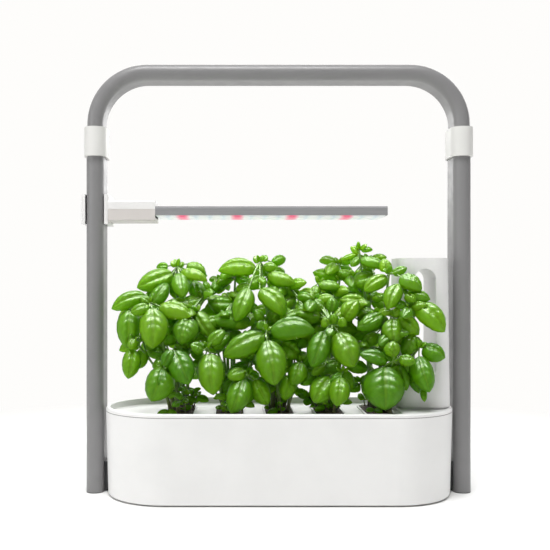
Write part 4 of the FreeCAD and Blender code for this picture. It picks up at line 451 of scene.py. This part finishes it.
class Paint(ShaderTree):
    """One material."""

    def __init__(self, name):
        self.material = bpy.data.materials.new(name)
        self.material.use_nodes = True
        super().__init__(self.material.node_tree)
        self.shader = self.tree.nodes["Principled BSDF"]
        self.place = self.add("ShaderNodeTexCoord").outputs["Object"]

    def math(self, operation, first, second=0.0):
        """One step of arithmetic."""
        node = self.add("ShaderNodeMath", operation=operation)
        for index, value in enumerate((first, second)):
            self.feed(node, index, value)
        return node.outputs[0]

    def scale(self, source, low, high, start=0.0, end=1.0):
        """Carry a value from one range to another, held at both ends."""
        node = self.add("ShaderNodeMapRange", interpolation_type="SMOOTHSTEP")
        for index, value in enumerate((source, low, high, start, end)):
            self.feed(node, index, value)
        return node.outputs["Result"]

    def spread(self, cloud, start=0.0, end=1.0):
        """Carry the usual range of a noise to another range."""
        return self.scale(cloud, *NOISE_REACH, start, end)

    def noise(self, scale, detail=3.0, rough=0.55, stretch=None):
        """Cloudy noise in the object's own metres."""
        node = self.add("ShaderNodeTexNoise", Scale=scale, Detail=detail, Roughness=rough)
        source = self.place
        if stretch:
            mapping = self.add("ShaderNodeMapping", Scale=stretch)
            self.link(self.place, mapping.inputs["Vector"])
            source = mapping.outputs["Vector"]
        self.link(source, node.inputs["Vector"])
        return node.outputs["Fac"]

    def axis(self, name):
        """One coordinate of each point, in the object's own metres."""
        split = self.add("ShaderNodeSeparateXYZ")
        self.link(self.place, split.inputs[0])
        return split.outputs[name]

    def attribute(self, name):
        """A value that the mesh carries."""
        return self.add("ShaderNodeAttribute", attribute_name=name).outputs["Fac"]

    def mix(self, factor, first, second):
        """A colour between two others."""
        node = self.add("ShaderNodeMix", data_type="RGBA")
        self.feed(node, 0, factor)
        for index, value in ((6, first), (7, second)):
            if isinstance(value, tuple):
                value = value + (1.0,)
            self.feed(node, index, value)
        return node.outputs[2]

    def relief(self, height, strength, distance):
        """Bump the surface by a height."""
        node = self.add("ShaderNodeBump", Strength=strength, Distance=distance)
        self.link(height, node.inputs["Height"])
        self.link(node.outputs["Normal"], self.shader.inputs["Normal"])

    def colour(self, source):
        """Set the base colour."""
        self.link(source, self.shader.inputs["Base Color"])

    def glow(self, source, strength):
        """Set the base colour and let the surface shine in it."""
        self.colour(source)
        self.link(source, self.shader.inputs["Emission Color"])
        self.constant(Emission_Strength=strength)

    def rough(self, source):
        """Set the roughness."""
        self.link(source, self.shader.inputs["Roughness"])

    def constant(self, **values):
        """Set values of the shader that are the same all over."""
        for name, value in values.items():
            self.shader.inputs[name.replace("_", " ")].default_value = value

    def cover(self, share, other):
        """Lay a share of another shader over the surface."""
        surface = self.blend(share, self.shader.outputs[0], other.outputs[0])
        self.link(surface, self.tree.nodes["Material Output"].inputs["Surface"])

    def cloudy(self, colour, clouds):
        """A plastic's colour with slow unevenness in tone."""
        cloud = self.spread(self.noise(scale=14.0, detail=4.0))
        return self.mix(cloud, near(colour, -clouds), near(colour, clouds / 2))

    def grained(self, roughness, grain):
        """A plastic's uneven gloss and fine grain."""
        gloss = self.noise(scale=60.0, detail=5.0)
        self.rough(self.spread(gloss, roughness * (1 - GLOSS_DRIFT), roughness * (1 + GLOSS_DRIFT)))
        self.relief(self.noise(scale=2600.0, detail=2.0), grain, FINE_RELIEF)


def near(colour, share):
    """A colour a share lighter or darker."""
    return tuple(min(1.0, channel * (1 + share)) for channel in colour)


def moulded(name, colour, roughness, grain, clouds):
    """Moulded plastic."""
    paint = Paint(name)
    paint.colour(paint.cloudy(colour, clouds))
    paint.grained(roughness, grain)
    return paint.material


def tub_shell():
    """The tub's moulded plastic, with the shadow line of the joint under the deck's lip."""
    colour, roughness, grain, clouds = PLASTICS["white_shell"]
    paint = Paint("tub_shell")
    joint = paint.scale(paint.axis("Z"), *JOINT_LINE)
    paint.colour(paint.mix(joint, paint.cloudy(colour, clouds), JOINT_SHADE))
    paint.grained(roughness, grain)
    return paint.material


def coated_metal():
    """Satin powder coat on tube: fine orange peel over a slow drift in tone."""
    paint = Paint("frame_grey")
    drift = paint.spread(paint.noise(scale=9.0))
    speck = paint.scale(paint.noise(scale=3200.0, detail=2.0), 0.35, 0.65)
    tone = paint.mix(drift, near(FRAME_GREY, -0.04), near(FRAME_GREY, 0.03))
    paint.colour(paint.mix(speck, tone, near(FRAME_GREY, 0.05)))
    paint.rough(paint.spread(paint.noise(scale=80.0, detail=4.0), 0.36, 0.46))
    paint.relief(paint.noise(scale=1500.0), strength=0.1, distance=FINE_RELIEF)
    paint.constant(Specular_IOR_Level=0.5)
    return paint.material


def anodised_bar():
    """Drawn and anodised metal, with faint lines along its length."""
    paint = Paint("bar_grey")
    lines = paint.noise(scale=900.0, stretch=(0.02, 1.0, 1.0))
    paint.colour(paint.mix(paint.spread(lines), near(BAR_GREY, -0.06), near(BAR_GREY, 0.05)))
    paint.rough(paint.spread(lines, 0.5, 0.6))
    paint.relief(lines, strength=0.06, distance=FINE_RELIEF)
    paint.constant(Specular_IOR_Level=0.35)
    return paint.material


def milky_tray():
    """A frosted tray, lit from inside, with a pink glow under every fourth light source."""
    paint = Paint("milky_plastic")
    place = paint.axis("X")
    along = paint.math("DIVIDE", paint.math("SUBTRACT", place, FIRST_GLOW), GLOW_PITCH)
    away = paint.math("ABSOLUTE", paint.math("SUBTRACT", along, paint.math("ROUND", along)))
    pink = paint.scale(away, *GLOW_SHARES, 1.0, 0.0)
    cool = paint.math("ABSOLUTE", paint.math("SINE", paint.math("MULTIPLY", place, CHIP_WAVES)))
    paint.glow(paint.mix(pink, paint.mix(cool, *TRAY_TONES), PINK_GLOW), strength=0.3)
    paint.constant(Roughness=0.45)
    paint.relief(paint.noise(scale=1800.0, detail=2.0), strength=0.08, distance=FINE_RELIEF)
    return paint.material


def lit_chip():
    """The light sources behind the tray."""
    paint = Paint("led_light")
    cloud = paint.scale(paint.noise(scale=300.0), 0.4, 0.6)
    paint.glow(paint.mix(cloud, (1.0, 0.86, 0.66), (0.98, 0.92, 0.8)), strength=1.0)
    paint.constant(Roughness=0.3)
    return paint.material


def circuit_board():
    """Lacquered board with faint tracks."""
    paint = Paint("circuit_board")
    track = paint.add("ShaderNodeTexBrick", Scale=160.0)
    paint.link(paint.place, track.inputs["Vector"])
    paint.colour(paint.mix(track.outputs["Fac"], (0.03, 0.16, 0.07), (0.08, 0.28, 0.13)))
    paint.rough(paint.spread(paint.noise(scale=200.0), 0.25, 0.4))
    return paint.material


def plain_steel():
    """Zinc-plated steel with a fine mottle."""
    paint = Paint("steel")
    paint.colour(paint.mix(paint.noise(scale=700.0), (0.42, 0.43, 0.44), (0.62, 0.62, 0.61)))
    paint.rough(paint.spread(paint.noise(scale=900.0), 0.25, 0.42))
    paint.constant(Metallic=1.0)
    return paint.material


def grow_medium():
    """Damp, crumbly dark brown medium with paler fibres."""
    paint = Paint("grow_medium")
    crumbs = paint.noise(scale=420.0, detail=8.0, rough=0.7)
    fibres = paint.noise(scale=900.0, detail=6.0, rough=0.75, stretch=(1.0, 1.0, 0.25))
    lumps = paint.scale(crumbs, 0.35, 0.65)
    dark = paint.mix(lumps, (0.012, 0.007, 0.004), (0.085, 0.047, 0.023))
    paint.colour(paint.mix(paint.scale(fibres, 0.62, 0.72), dark, (0.21, 0.13, 0.07)))
    paint.rough(paint.spread(crumbs, 0.75, 0.95))
    paint.relief(crumbs, strength=0.9, distance=1.2 * MM)
    return paint.material


def basil_leaf():
    """A basil leaf: veins, midrib and rim paler, glossy above, yellower as new growth and with
    painted backlight toward the top and back.
    """
    paint = Paint("basil")
    along, across, young_and_backlit, tone, under = [paint.attribute(name) for name in LEAF_VALUES]
    side = paint.math("ABSOLUTE", across)
    lean = paint.math("MULTIPLY", side, VEIN_LEAN)
    wave = paint.math("SUBTRACT", paint.math("MULTIPLY", along, VEIN_PAIRS), lean)
    cell = paint.math("ABSOLUTE", paint.math("SUBTRACT", paint.math("FRACT", wave), 0.5))
    vein = paint.scale(cell, 0.38, 0.5)
    vein = paint.math("MULTIPLY", vein, paint.scale(side, 0.55, 0.98, 1.0, 0.0))
    rib = paint.scale(side, 0.02, 0.09, 1.0, 0.0)
    rim = paint.scale(side, 0.9, 0.99)
    mottle = paint.noise(scale=240.0, detail=4.0)
    # The light tone stands for new growth and, toward the top and back of the canopy, for painted
    # backlight glow.
    light = paint.mix(tone, *LEAF_LIGHT)
    surface = paint.mix(young_and_backlit, paint.mix(tone, *LEAF_DARK), light)
    surface = paint.mix(paint.scale(mottle, 0.35, 0.7, 0.0, 0.18), surface, light)
    for name, mask in (("vein", vein), ("rib", rib), ("rim", rim), ("under", under)):
        strength, shade = LEAF_MARKS[name]
        surface = paint.mix(paint.math("MULTIPLY", mask, strength), surface, shade)
    paint.colour(surface)
    paint.rough(paint.spread(mottle, 0.38, 0.48))
    height = paint.math("SUBTRACT", paint.math("MULTIPLY", vein, -0.6), rib)
    height = paint.math("ADD", height, paint.math("MULTIPLY", mottle, 0.35))
    paint.relief(height, strength=0.5, distance=1.0 * MM)
    paint.constant(Specular_IOR_Level=0.05, Coat_Weight=0.55, Coat_Roughness=0.44, Coat_IOR=1.5)
    through = paint.add("ShaderNodeBsdfTranslucent")
    paint.link(paint.mix(THROUGH_TINT, surface, LEAF_THROUGH), through.inputs["Color"])
    paint.cover(THROUGH_SHARE, through)
    return paint.material


def basil_stem():
    """A basil stem: fresh green above, woody purple-brown toward the medium."""
    paint = Paint("basil_stem")
    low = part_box("grow_plug_1")[1].z
    aged = paint.scale(paint.axis("Z"), low, low + STEM_BROWN_RISE, 1.0, 0.0)
    streak = paint.noise(scale=500.0, detail=5.0, stretch=(1.0, 1.0, 0.15))
    green = paint.mix(streak, *STEM_GREENS)
    brown = paint.mix(streak, *STEM_BROWNS)
    paint.colour(paint.mix(paint.math("MULTIPLY", aged, STEM_BROWN_SHARE), green, brown))
    paint.rough(paint.spread(streak, 0.42, 0.6))
    paint.relief(streak, strength=0.5, distance=0.6 * MM)
    return paint.material


def make_paints():
    """Every material by its slot."""
    paints = {name: moulded(name, *values) for name, values in PLASTICS.items()}
    paints["grow_medium"] = grow_medium()
    paints["basil"] = basil_leaf()
    paints["basil_stem"] = basil_stem()
    paints["frame_grey"] = coated_metal()
    paints["steel"] = plain_steel()
    paints["bar_grey"] = anodised_bar()
    paints["milky_plastic"] = milky_tray()
    paints["led_light"] = lit_chip()
    paints["circuit_board"] = circuit_board()
    return paints


def dress_nodes(paints):
    """Give each node the material of its slot; two have one of their own: the tub's, with its
    painted shadow line, and the arm's underside, a darker, warmer white as painted shade.
    """
    for part in frame["record"]["subparts"]:
        node = NODES[part["node"]]
        node.data.materials.clear()
        node.data.materials.append(paints[part["material_slot"]])
    NODES["tub_shell"].data.materials[0] = tub_shell()
    # Painted shade on the arm's lower shell.
    NODES["arm_lower_shell"].data.materials[0] = moulded("arm_underside_shaded", *ARM_UNDERSIDE_SHADED)


def placed(name, data):
    """A new object in the scene."""
    item = bpy.data.objects.new(name, data)
    bpy.context.scene.collection.objects.link(item)
    return item


def mesh_piece(name, points, faces, paint, smooth=True):
    """A mesh object from points and faces."""
    mesh = bpy.data.meshes.new(name)
    mesh.from_pydata(points, [], faces)
    if smooth:
        mesh.shade_smooth()
    mesh.update()
    mesh.materials.append(paint)
    return placed(name, mesh)


def seen_point(column, row, depth_share):
    """The point in space that the photograph shows at a place, for a depth from the middle."""
    depth = depth_share * TUB_HALF_DEPTH
    spread = (VIEW_DISTANCE + depth) / VIEW_DISTANCE
    x = (column - VIEW_PIXELS[0]) * spread + VIEW_PIXELS[0] - ORIGIN_PIXELS[0]
    z = (row - VIEW_PIXELS[1]) * spread + VIEW_PIXELS[1] - ORIGIN_PIXELS[1]
    return Vector((x * PIXEL_SIZE, depth, -z * PIXEL_SIZE))


def eased(points, place):
    """A value read from a given profile, with a smooth run between its points."""
    for (start, low), (end, high) in zip(points, points[1:]):
        if place <= end:
            share = (place - start) / (end - start)
            return low + (high - low) * (share + share * share * (3 - 2 * share)) / 2
    return points[-1][1]


def blade_height(rise, along, off, half, width, cup):
    """The height of a blade: its arched line, with hanging sides, pillows and a sunken midrib."""
    wave = along * VEIN_PAIRS - off * VEIN_LEAN
    cell = abs(wave - math.floor(wave) - 0.5) * 2
    pillow = (1 - cell ** 3) * min(1.0, off * PILLOW_RAMP) * (1 - off ** 3) * LEAF_PILLOW * width
    crease = LEAF_CREASE * width * math.exp(-(off / CREASE_HALF) ** 2)
    crease *= math.sin(math.pi * min(1, along * CREASE_RUN))
    grown = min(1.0, half / width * RELIEF_RAMP)
    return rise - cup * half * off ** LEAF_CURL + (pillow - crease) * grown


class LeafMesh:
    """The leaves of one plant, gathered into one mesh with the values that the paint reads."""

    def __init__(self):
        self.points = []
        self.faces = []
        self.values = {name: [] for name in LEAF_VALUES}

    def add_point(self, point, *values):
        """One vertex and its values."""
        self.points.append(point)
        for name, value in zip(LEAF_VALUES, values):
            self.values[name].append(value)
        return len(self.points) - 1

    def leaf(self, base, tip, width, roll, young_and_backlit, seed):
        """One leaf: an upper and a lower sheet with one edge, whose sides and tip hang."""
        dice = random.Random(seed)
        tone = dice.random()
        line = tip - base
        length = line.length
        stations, columns, flatness = LEAF_STATIONS, LEAF_COLUMNS, 1
        if length < SMALL_LEAF:
            stations, columns, flatness = BUD_STATIONS, BUD_COLUMNS, BUD_FLATNESS
        line.normalize()
        up = LEAF_FACING - line * LEAF_FACING.dot(line)
        if up.length < FACING_LIMIT:
            up = UP - line * line.z
        up.normalize()
        up.rotate(Quaternion(line, math.radians(roll)))
        side = line.cross(up)
        arch = LEAF_ARCH * length * dice.uniform(*ARCH_SPREAD) * flatness
        cup = LEAF_CUP * dice.uniform(*CUP_SPREAD) * flatness
        twist = dice.uniform(-LEAF_TWIST, LEAF_TWIST)
        bend = dice.uniform(-LEAF_BEND_SHARE, LEAF_BEND_SHARE) * length
        sheets = {}
        for face in (0, 1):
            for i in range(stations + 1):
                along = i / stations
                half = eased(LEAF_PROFILE, along) * width / 2
                drop = TIP_DROP * length * max(0.0, along - TIP_DROP_START) ** 2
                rise = arch * 4 * along * (1 - along) - drop
                for j in range(-columns, columns + 1):
                    if face and (abs(j) == columns or i in (0, stations)):
                        continue
                    across = j / columns
                    off = abs(across)
                    height = blade_height(rise, along, off, half, width, cup)
                    height += twist * across * half * along
                    reach = across * half * (1 - CUP_NARROWING * cup * off)
                    reach += bend * math.sin(math.pi * along)
                    point = base + line * (along * length) + side * reach
                    point += up * (height - face * LEAF_SKIN)
                    values = (along, across, young_and_backlit, tone, float(face))
                    sheets[face, i, j] = self.add_point(point, *values)
        for face in (0, 1):
            for i in range(stations):
                for j in range(-columns, columns):
                    corners = [(i, j), (i, j + 1), (i + 1, j + 1), (i + 1, j)]
                    ids = [sheets.get((face, a, b), sheets[0, a, b]) for a, b in corners]
                    self.faces.append(ids if face else ids[::-1])

    def build(self, name, paint):
        """The finished mesh object."""
        piece = mesh_piece(name, self.points, self.faces, paint)
        for key, values in self.values.items():
            layer = piece.data.attributes.new(key, "FLOAT", "POINT")
            layer.data.foreach_set("value", values)
        return piece


def smooth_route(route, radii):
    """The points and radii along a smooth curve through the points of a stem."""
    fine = []
    for i in range(len(route) - 1):
        before, a, b = route[max(i - 1, 0)], route[i], route[i + 1]
        after = route[min(i + 2, len(route) - 1)]
        for step in range(STEM_STEPS):
            t = step / STEM_STEPS
            place = (a * 2 + (b - before) * t + (before * 2 - a * 5 + b * 4 - after) * t ** 2
                     + (a * 3 - before - b * 3 + after) * t ** 3) / 2
            fine.append((place, radii[i] + (radii[i + 1] - radii[i]) * t))
    fine.append((route[-1], radii[-1]))
    return fine


def tube_mesh(name, routes, paint):
    """Round stems along smooth routes; each route is a list of points and a list of radii."""
    points = []
    faces = []
    for route, radii in routes:
        fine = smooth_route(route, radii)
        start = len(points)
        for k, (place, radius) in enumerate(fine):
            ahead = fine[min(k + 1, len(fine) - 1)][0] - fine[max(k - 1, 0)][0]
            turn = UP.rotation_difference(ahead)
            for s in range(STEM_SIDES):
                angle = 2 * math.pi * s / STEM_SIDES
                offset = Vector((math.cos(angle), math.sin(angle), 0)) * radius
                offset.rotate(turn)
                points.append(place + offset)
        for k in range(len(fine) - 1):
            for s in range(STEM_SIDES):
                a = start + k * STEM_SIDES + s
                b = start + k * STEM_SIDES + (s + 1) % STEM_SIDES
                faces.append((a, b, b + STEM_SIDES, a + STEM_SIDES))
        faces.append(tuple(range(start + STEM_SIDES - 1, start - 1, -1)))
        last = start + (len(fine) - 1) * STEM_SIDES
        faces.append(tuple(range(last, last + STEM_SIDES)))
    return mesh_piece(name, points, faces, paint)


def stem_path(foot, top):
    """A stem's way from the medium: straight up at first, then curving to its top."""
    rise = top.z - foot.z
    knee = foot + Vector((0, 0, rise * STEM_KNEE_SHARE))
    lean = STEM_MIDDLE_SHARE ** 2
    x, y = (top.x - foot.x) * lean, (top.y - foot.y) * lean
    middle = foot + Vector((x, y, rise * STEM_MIDDLE_SHARE))
    return [foot, knee, middle, top]


def tapered(radius, shares):
    """The radii along a stem."""
    return [radius * share for share in shares]


def stalk(joint, base, tip):
    """A leaf's stalk: from its joint, a little bowed, into the blade."""
    bow = (joint + base) / 2 + Vector((0, 0, (joint - base).length * STALK_BOW_SHARE))
    route = [joint, bow, base, base + (tip - base) * STALK_REACH_SHARE]
    return route, tapered(STALK_RADIUS, STALK_TAPER_SHARES)


def nearest(points, place):
    """The point that is nearest to a place."""
    return min(points, key=lambda point: (point - place).length)


def direction(turn, lift):
    """The unit vector at a turn about Z and a lift above the level, both in degrees."""
    angle = math.radians(turn)
    rise = math.radians(lift)
    level = math.cos(rise)
    return Vector((math.cos(angle) * level, math.sin(angle) * level, math.sin(rise)))


def bud_leaves(top, seed):
    """The small unfolding leaves at a shoot's tip."""
    dice = random.Random(seed)
    found = []
    turn = dice.uniform(0, 180)
    for k in range(BUD_LEAVES):
        size = BUD_LEAF * dice.uniform(*BUD_SPREAD)
        way = direction(turn + 90 * k, BUD_LIFTS[k % 2])
        way.y -= TO_VIEWER
        start = top + way * (size * BUD_START_SHARE)
        found.append((start, start + way * size, size * BUD_WIDTH_SHARE, 0))
    return found


def whorl_leaves(centre, turn, length, pairs, widening=1.0):
    """The opposite leaf pairs of one shoot, each pair turned a right angle from the last."""
    found = []
    for k in range(pairs):
        size = length * (1 - WHORL_SHRINK_SHARE * k)
        for side in (0, 180):
            way = direction(turn + 90 * k + side, WHORL_LOW + WHORL_STEP * k)
            start = centre + way * (size * PETIOLE_SHARE) + Vector((0, 0, size * PETIOLE_SHARE * k))
            found.append((start, start + way * size, size * WHORL_WIDTH_SHARE * widening, 0))
    return found


def youth_and_backlight(place):
    """How pale a leaf is painted: more toward the top of the canopy, for new growth and painted
    backlight, and toward its back, as painted backlight alone.
    """
    low = CANOPY_FLOOR + PALE_START_SHARE * CANOPY_HEIGHT
    height = (place.z - low) / (CANOPY_FLOOR + CANOPY_HEIGHT - low)
    back = (place.y + TUB_HALF_DEPTH) / (2 * TUB_HALF_DEPTH)
    return min(1.0, max(0.0, YOUTH_AND_BACKLIGHT_BY_HEIGHT * height + BACKLIGHT_BY_DEPTH * back - PALE_OFFSET))


class Plant:
    """One basil plant, as it grows: its stems, the joints on them and its leaves."""

    def __init__(self, pod):
        low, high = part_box("grow_plug_%d" % pod)
        self.pod = pod
        self.middle = ((low + high) / 2).x
        self.ground = high.z
        self.routes = []
        self.joints = []
        self.leaves = []

    def grow(self):
        """Grow all of it; the seeds of its leaves come from their places and order."""
        self.grow_stems()
        self.place_leaves()
        self.grow_whorls()
        self.grow_side_shoots()
        self.grow_low_shoots()

    def foot(self, across, depth):
        """A point on the medium, from shares of the cup's half width and half depth."""
        return Vector((self.middle + across * CUP_WIDTH / 2, depth * CUP_DEPTH / 2, self.ground))

    def canopy(self, across, depth, height):
        """A point above, from shares of the pitch, the tub's half depth and the canopy's height."""
        z = self.ground + height * CANOPY_HEIGHT
        return Vector((self.middle + across * POD_PITCH, depth * TUB_HALF_DEPTH, z))

    def grow_stems(self):
        """The stems of the table, with small leaves at their tips."""
        for across, away, column, row, depth, thick in STEMS_PIXELS_SHARES[self.pod]:
            path = stem_path(self.foot(across, away), seen_point(column, row, depth))
            self.routes.append((path, tapered(STEM_RADIUS * thick, STEM_TAPER_SHARES)))
            self.joints += path[1:]
            self.leaves += bud_leaves(path[-1], column * 7 + row)

    def place_leaves(self):
        """The leaves that the photograph shows one by one."""
        for leaf in LEAVES_PIXELS_SHARES[self.pod]:
            column, row, tip_column, tip_row, width, depth, tip_depth, roll = leaf
            base = seen_point(column, row, depth)
            tip = seen_point(tip_column, tip_row, tip_depth)
            self.leaves.append((base, tip, width * PIXEL_SIZE, roll))

    def grow_whorls(self):
        """The shoots with pairs of leaves behind those, which rise from the back of the cup."""
        for across, depth, height, turn, length, pairs in WHORLS_SHARES[self.pod]:
            centre = self.canopy(across, depth, height)
            path = stem_path(self.foot(across, WHORL_ROOT_SHARE), centre)
            self.routes.append((path, tapered(STEM_RADIUS, STEM_TAPER_SHARES)))
            self.joints += path[2:]
            self.leaves += bud_leaves(centre, int(turn + 100 * self.pod))
            self.leaves += whorl_leaves(centre, turn, length * LEAF_LENGTH, pairs)

    def grow_side_shoots(self):
        """The shoots that leave a stem at the nearest joint below them."""
        for across, depth, height, turn, length in SIDE_SHOOTS_SHARES[self.pod]:
            centre = self.canopy(across, depth, height)
            below = [point for point in self.joints if point.z < centre.z - SIDE_SHOOT_DROP]
            joint = nearest(below or self.joints, centre)
            bow = Vector((centre.x - joint.x, centre.y - joint.y, 0)) * SIDE_BOW_SHARE
            route = [joint, (joint + centre) / 2 + bow, centre]
            self.routes.append((route, tapered(SIDE_SHOOT_RADIUS, SIDE_TAPER_SHARES)))
            self.leaves += bud_leaves(centre, int(turn + 1000 * height))
            size = length * LEAF_LENGTH
            self.leaves += whorl_leaves(centre, turn, size, 2, SIDE_LEAF_WIDTH_SHARE)

    def grow_low_shoots(self):
        """Short shoots with two small leaves each, crowded at the plant's foot."""
        dice = random.Random(LOW_SHOOT_SEED + self.pod)
        for _ in range(LOW_SHOOTS):
            foot = self.foot(dice.uniform(*LOW_FOOT_X_SHARES), dice.uniform(*LOW_FOOT_Y_SHARES))
            lean = Vector((dice.uniform(*LOW_LEAN_X), dice.uniform(*LOW_LEAN_Y), 1))
            centre = foot + lean * dice.uniform(*LOW_SHOOT_RISE)
            turn = dice.uniform(0, 360)
            for side in (0, 180):
                angle = math.radians(turn + side)
                lift = dice.uniform(*LOW_LEAF_LIFT)
                way = Vector((math.cos(angle), math.sin(angle) - TO_VIEWER, lift)).normalized()
                size = dice.uniform(*LOW_LEAF)
                self.leaves.append((centre, centre + way * size, size * BUD_WIDTH_SHARE, 0))
            self.routes.append(([foot, centre], tapered(LOW_STEM_RADIUS, LOW_TAPER_SHARES)))
            self.joints.append(centre)

    def build(self, paints):
        """Its two pieces, leaves and stems, riding where its solid stands."""
        mesh = LeafMesh()
        for index, (base, tip, width, roll) in enumerate(self.leaves):
            mesh.leaf(base, tip, width, roll, youth_and_backlight((base + tip) / 2), self.pod * 1000 + index)
            joint = nearest(self.joints, base)
            if (joint - base).length > STEM_RADIUS / 2:
                self.routes.append(stalk(joint, base, tip))
        name = "basil_plant_%d" % self.pod
        green = mesh.build(name + "_leaves", paints["basil"])
        stems = tube_mesh(name + "_stems", self.routes, paints["basil_stem"])
        for piece in (green, stems):
            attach(piece, "base")
        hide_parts(name)


def medium_mound(pod, paints):
    """The crumbly medium of one pod: straight sides in the cup, and an uneven domed top."""
    node = "grow_plug_%d" % pod
    low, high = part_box(node)
    middle = (low + high) / 2
    half = (high - low) / 2
    points = []
    for ring in range(-1, MOUND_RINGS):
        share = 1 - max(ring, 0) / MOUND_RINGS
        for side in range(MOUND_SIDES):
            angle = 2 * math.pi * side / MOUND_SIDES
            cosine, sine = math.cos(angle), math.sin(angle)
            bulge = abs(cosine) ** MOUND_SQUARENESS + abs(sine) ** MOUND_SQUARENESS
            bulge = bulge ** (-1 / MOUND_SQUARENESS)
            x = middle.x + half.x * cosine * bulge * share
            point = Vector((x, half.y * sine * bulge * share, low.z))
            if ring >= 0:
                rise = MOUND_RISE * (1 - share ** DOME_POWER) - MOUND_EDGE * share ** EDGE_POWER
                for scale, height in CRUMB_HEIGHTS:
                    rise += height * noise.noise(point * scale) * (1 - share ** CRUMB_POWER)
                point.z = high.z + rise
            points.append(point)
    last = MOUND_RINGS * MOUND_SIDES
    faces = [tuple(range(MOUND_SIDES - 1, -1, -1)), tuple(range(last, len(points)))]
    for ring in range(MOUND_RINGS):
        for side in range(MOUND_SIDES):
            a = ring * MOUND_SIDES + side
            b = ring * MOUND_SIDES + (side + 1) % MOUND_SIDES
            faces.append((a, b, b + MOUND_SIDES, a + MOUND_SIDES))
    mound = mesh_piece(node + "_mound", points, faces, paints["grow_medium"])
    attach(mound, "base")
    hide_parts(node)


def lay_floor():
    """A pale floor that keeps the garden's shadow and fades into the background."""
    paint = Paint("floor")
    length = paint.add("ShaderNodeVectorMath", operation="LENGTH")
    paint.link(paint.place, length.inputs[0])
    far = paint.scale(length.outputs["Value"], *FLOOR_FADE)
    seen = paint.add("ShaderNodeLightPath")
    rays = paint.math("ADD", seen.outputs["Is Camera Ray"], seen.outputs["Is Glossy Ray"])
    rays = paint.math("MINIMUM", paint.math("ADD", rays, seen.outputs["Is Transmission Ray"]), 1.0)
    cloud = paint.spread(paint.noise(scale=4.0))
    paint.colour(paint.mix(cloud, FLOOR_COLOUR, near(FLOOR_COLOUR, -0.01)))
    paint.constant(Roughness=0.9, Specular_IOR_Level=0.0)
    backdrop = paint.add("ShaderNodeEmission", Color=BACKGROUND + (1.0,))
    paint.cover(paint.math("MULTIPLY", far, rays), backdrop)
    signs = ((-1, -1), (1, -1), (1, 1), (-1, 1))
    corners = [(x * FLOOR_REACH, y * FLOOR_REACH, 0) for x, y in signs]
    floor = mesh_piece("floor", corners, [(0, 1, 2, 3)], paint.material, smooth=False)


def light_world():
    """Light that is stronger from behind; the camera sees it as an even pale background."""
    world = bpy.data.worlds.new("studio")
    world.use_nodes = True
    bpy.context.scene.world = world
    world.node_tree.nodes.clear()
    tree = ShaderTree(world.node_tree)
    split = tree.add("ShaderNodeSeparateXYZ")
    tree.link(tree.add("ShaderNodeTexCoord").outputs["Generated"], split.inputs[0])
    path = tree.add("ShaderNodeLightPath")
    shown = None
    for colour, fading, rays in WORLD_LAYERS:
        layer = tree.add("ShaderNodeBackground", Color=colour + (1.0,))
        fade = tree.add("ShaderNodeMapRange", **dict(zip(FADE_INPUTS, fading)))
        tree.link(split.outputs["Y"], fade.inputs["Value"])
        tree.link(fade.outputs["Result"], layer.inputs["Strength"])
        for ray in rays:
            shown = tree.blend(path.outputs[ray], shown, layer.outputs[0])
        shown = shown or layer.outputs[0]
    tree.link(shown, tree.add("ShaderNodeOutputWorld").inputs["Surface"])


def soft_box(name, place, target, size, power):
    """A large soft lamp aimed at a point."""
    data = bpy.data.lights.new(name, "AREA")
    data.shape = "RECTANGLE"
    data.size, data.size_y = size
    data.energy = power
    lamp = placed(name, data)
    lamp.location = place
    lamp.rotation_euler = (Vector(target) - Vector(place)).to_track_quat("-Z", "Y").to_euler()
    return lamp


def set_lamps():
    """The lamps; the one overhead shows only as the sheen of the leaves."""
    lamps = {name: soft_box(name, *values) for name, values in LAMPS.items()}
    sheen = lamps["sheen_light"]
    sheen.visible_diffuse = sheen.visible_transmission = False
    foliage = bpy.data.collections.new("foliage")
    for item in bpy.data.objects:
        if item.name.startswith("basil_plant"):
            foliage.objects.link(item)
    sheen.light_linking.receiver_collection = foliage


def set_camera():
    """The camera at the photograph's place."""
    data = bpy.data.cameras.new("camera")
    data.lens = CAMERA_LENS
    data.sensor_width = CAMERA_SENSOR
    data.shift_x, data.shift_y = CAMERA_SHIFT
    camera = placed("camera", data)
    camera.location = CAMERA_PLACE
    camera.rotation_euler = (math.radians(90), 0, 0)
    bpy.context.scene.camera = camera


def main():
    """Dress the garden and set up the picture."""
    bpy.context.scene.view_settings.view_transform = "Standard"
    paints = make_paints()
    dress_nodes(paints)
    for pod in sorted(LEAVES_PIXELS_SHARES):
        plant = Plant(pod)
        plant.grow()
        plant.build(paints)
        medium_mound(pod, paints)
    lay_floor()
    light_world()
    set_lamps()
    set_camera()


main()
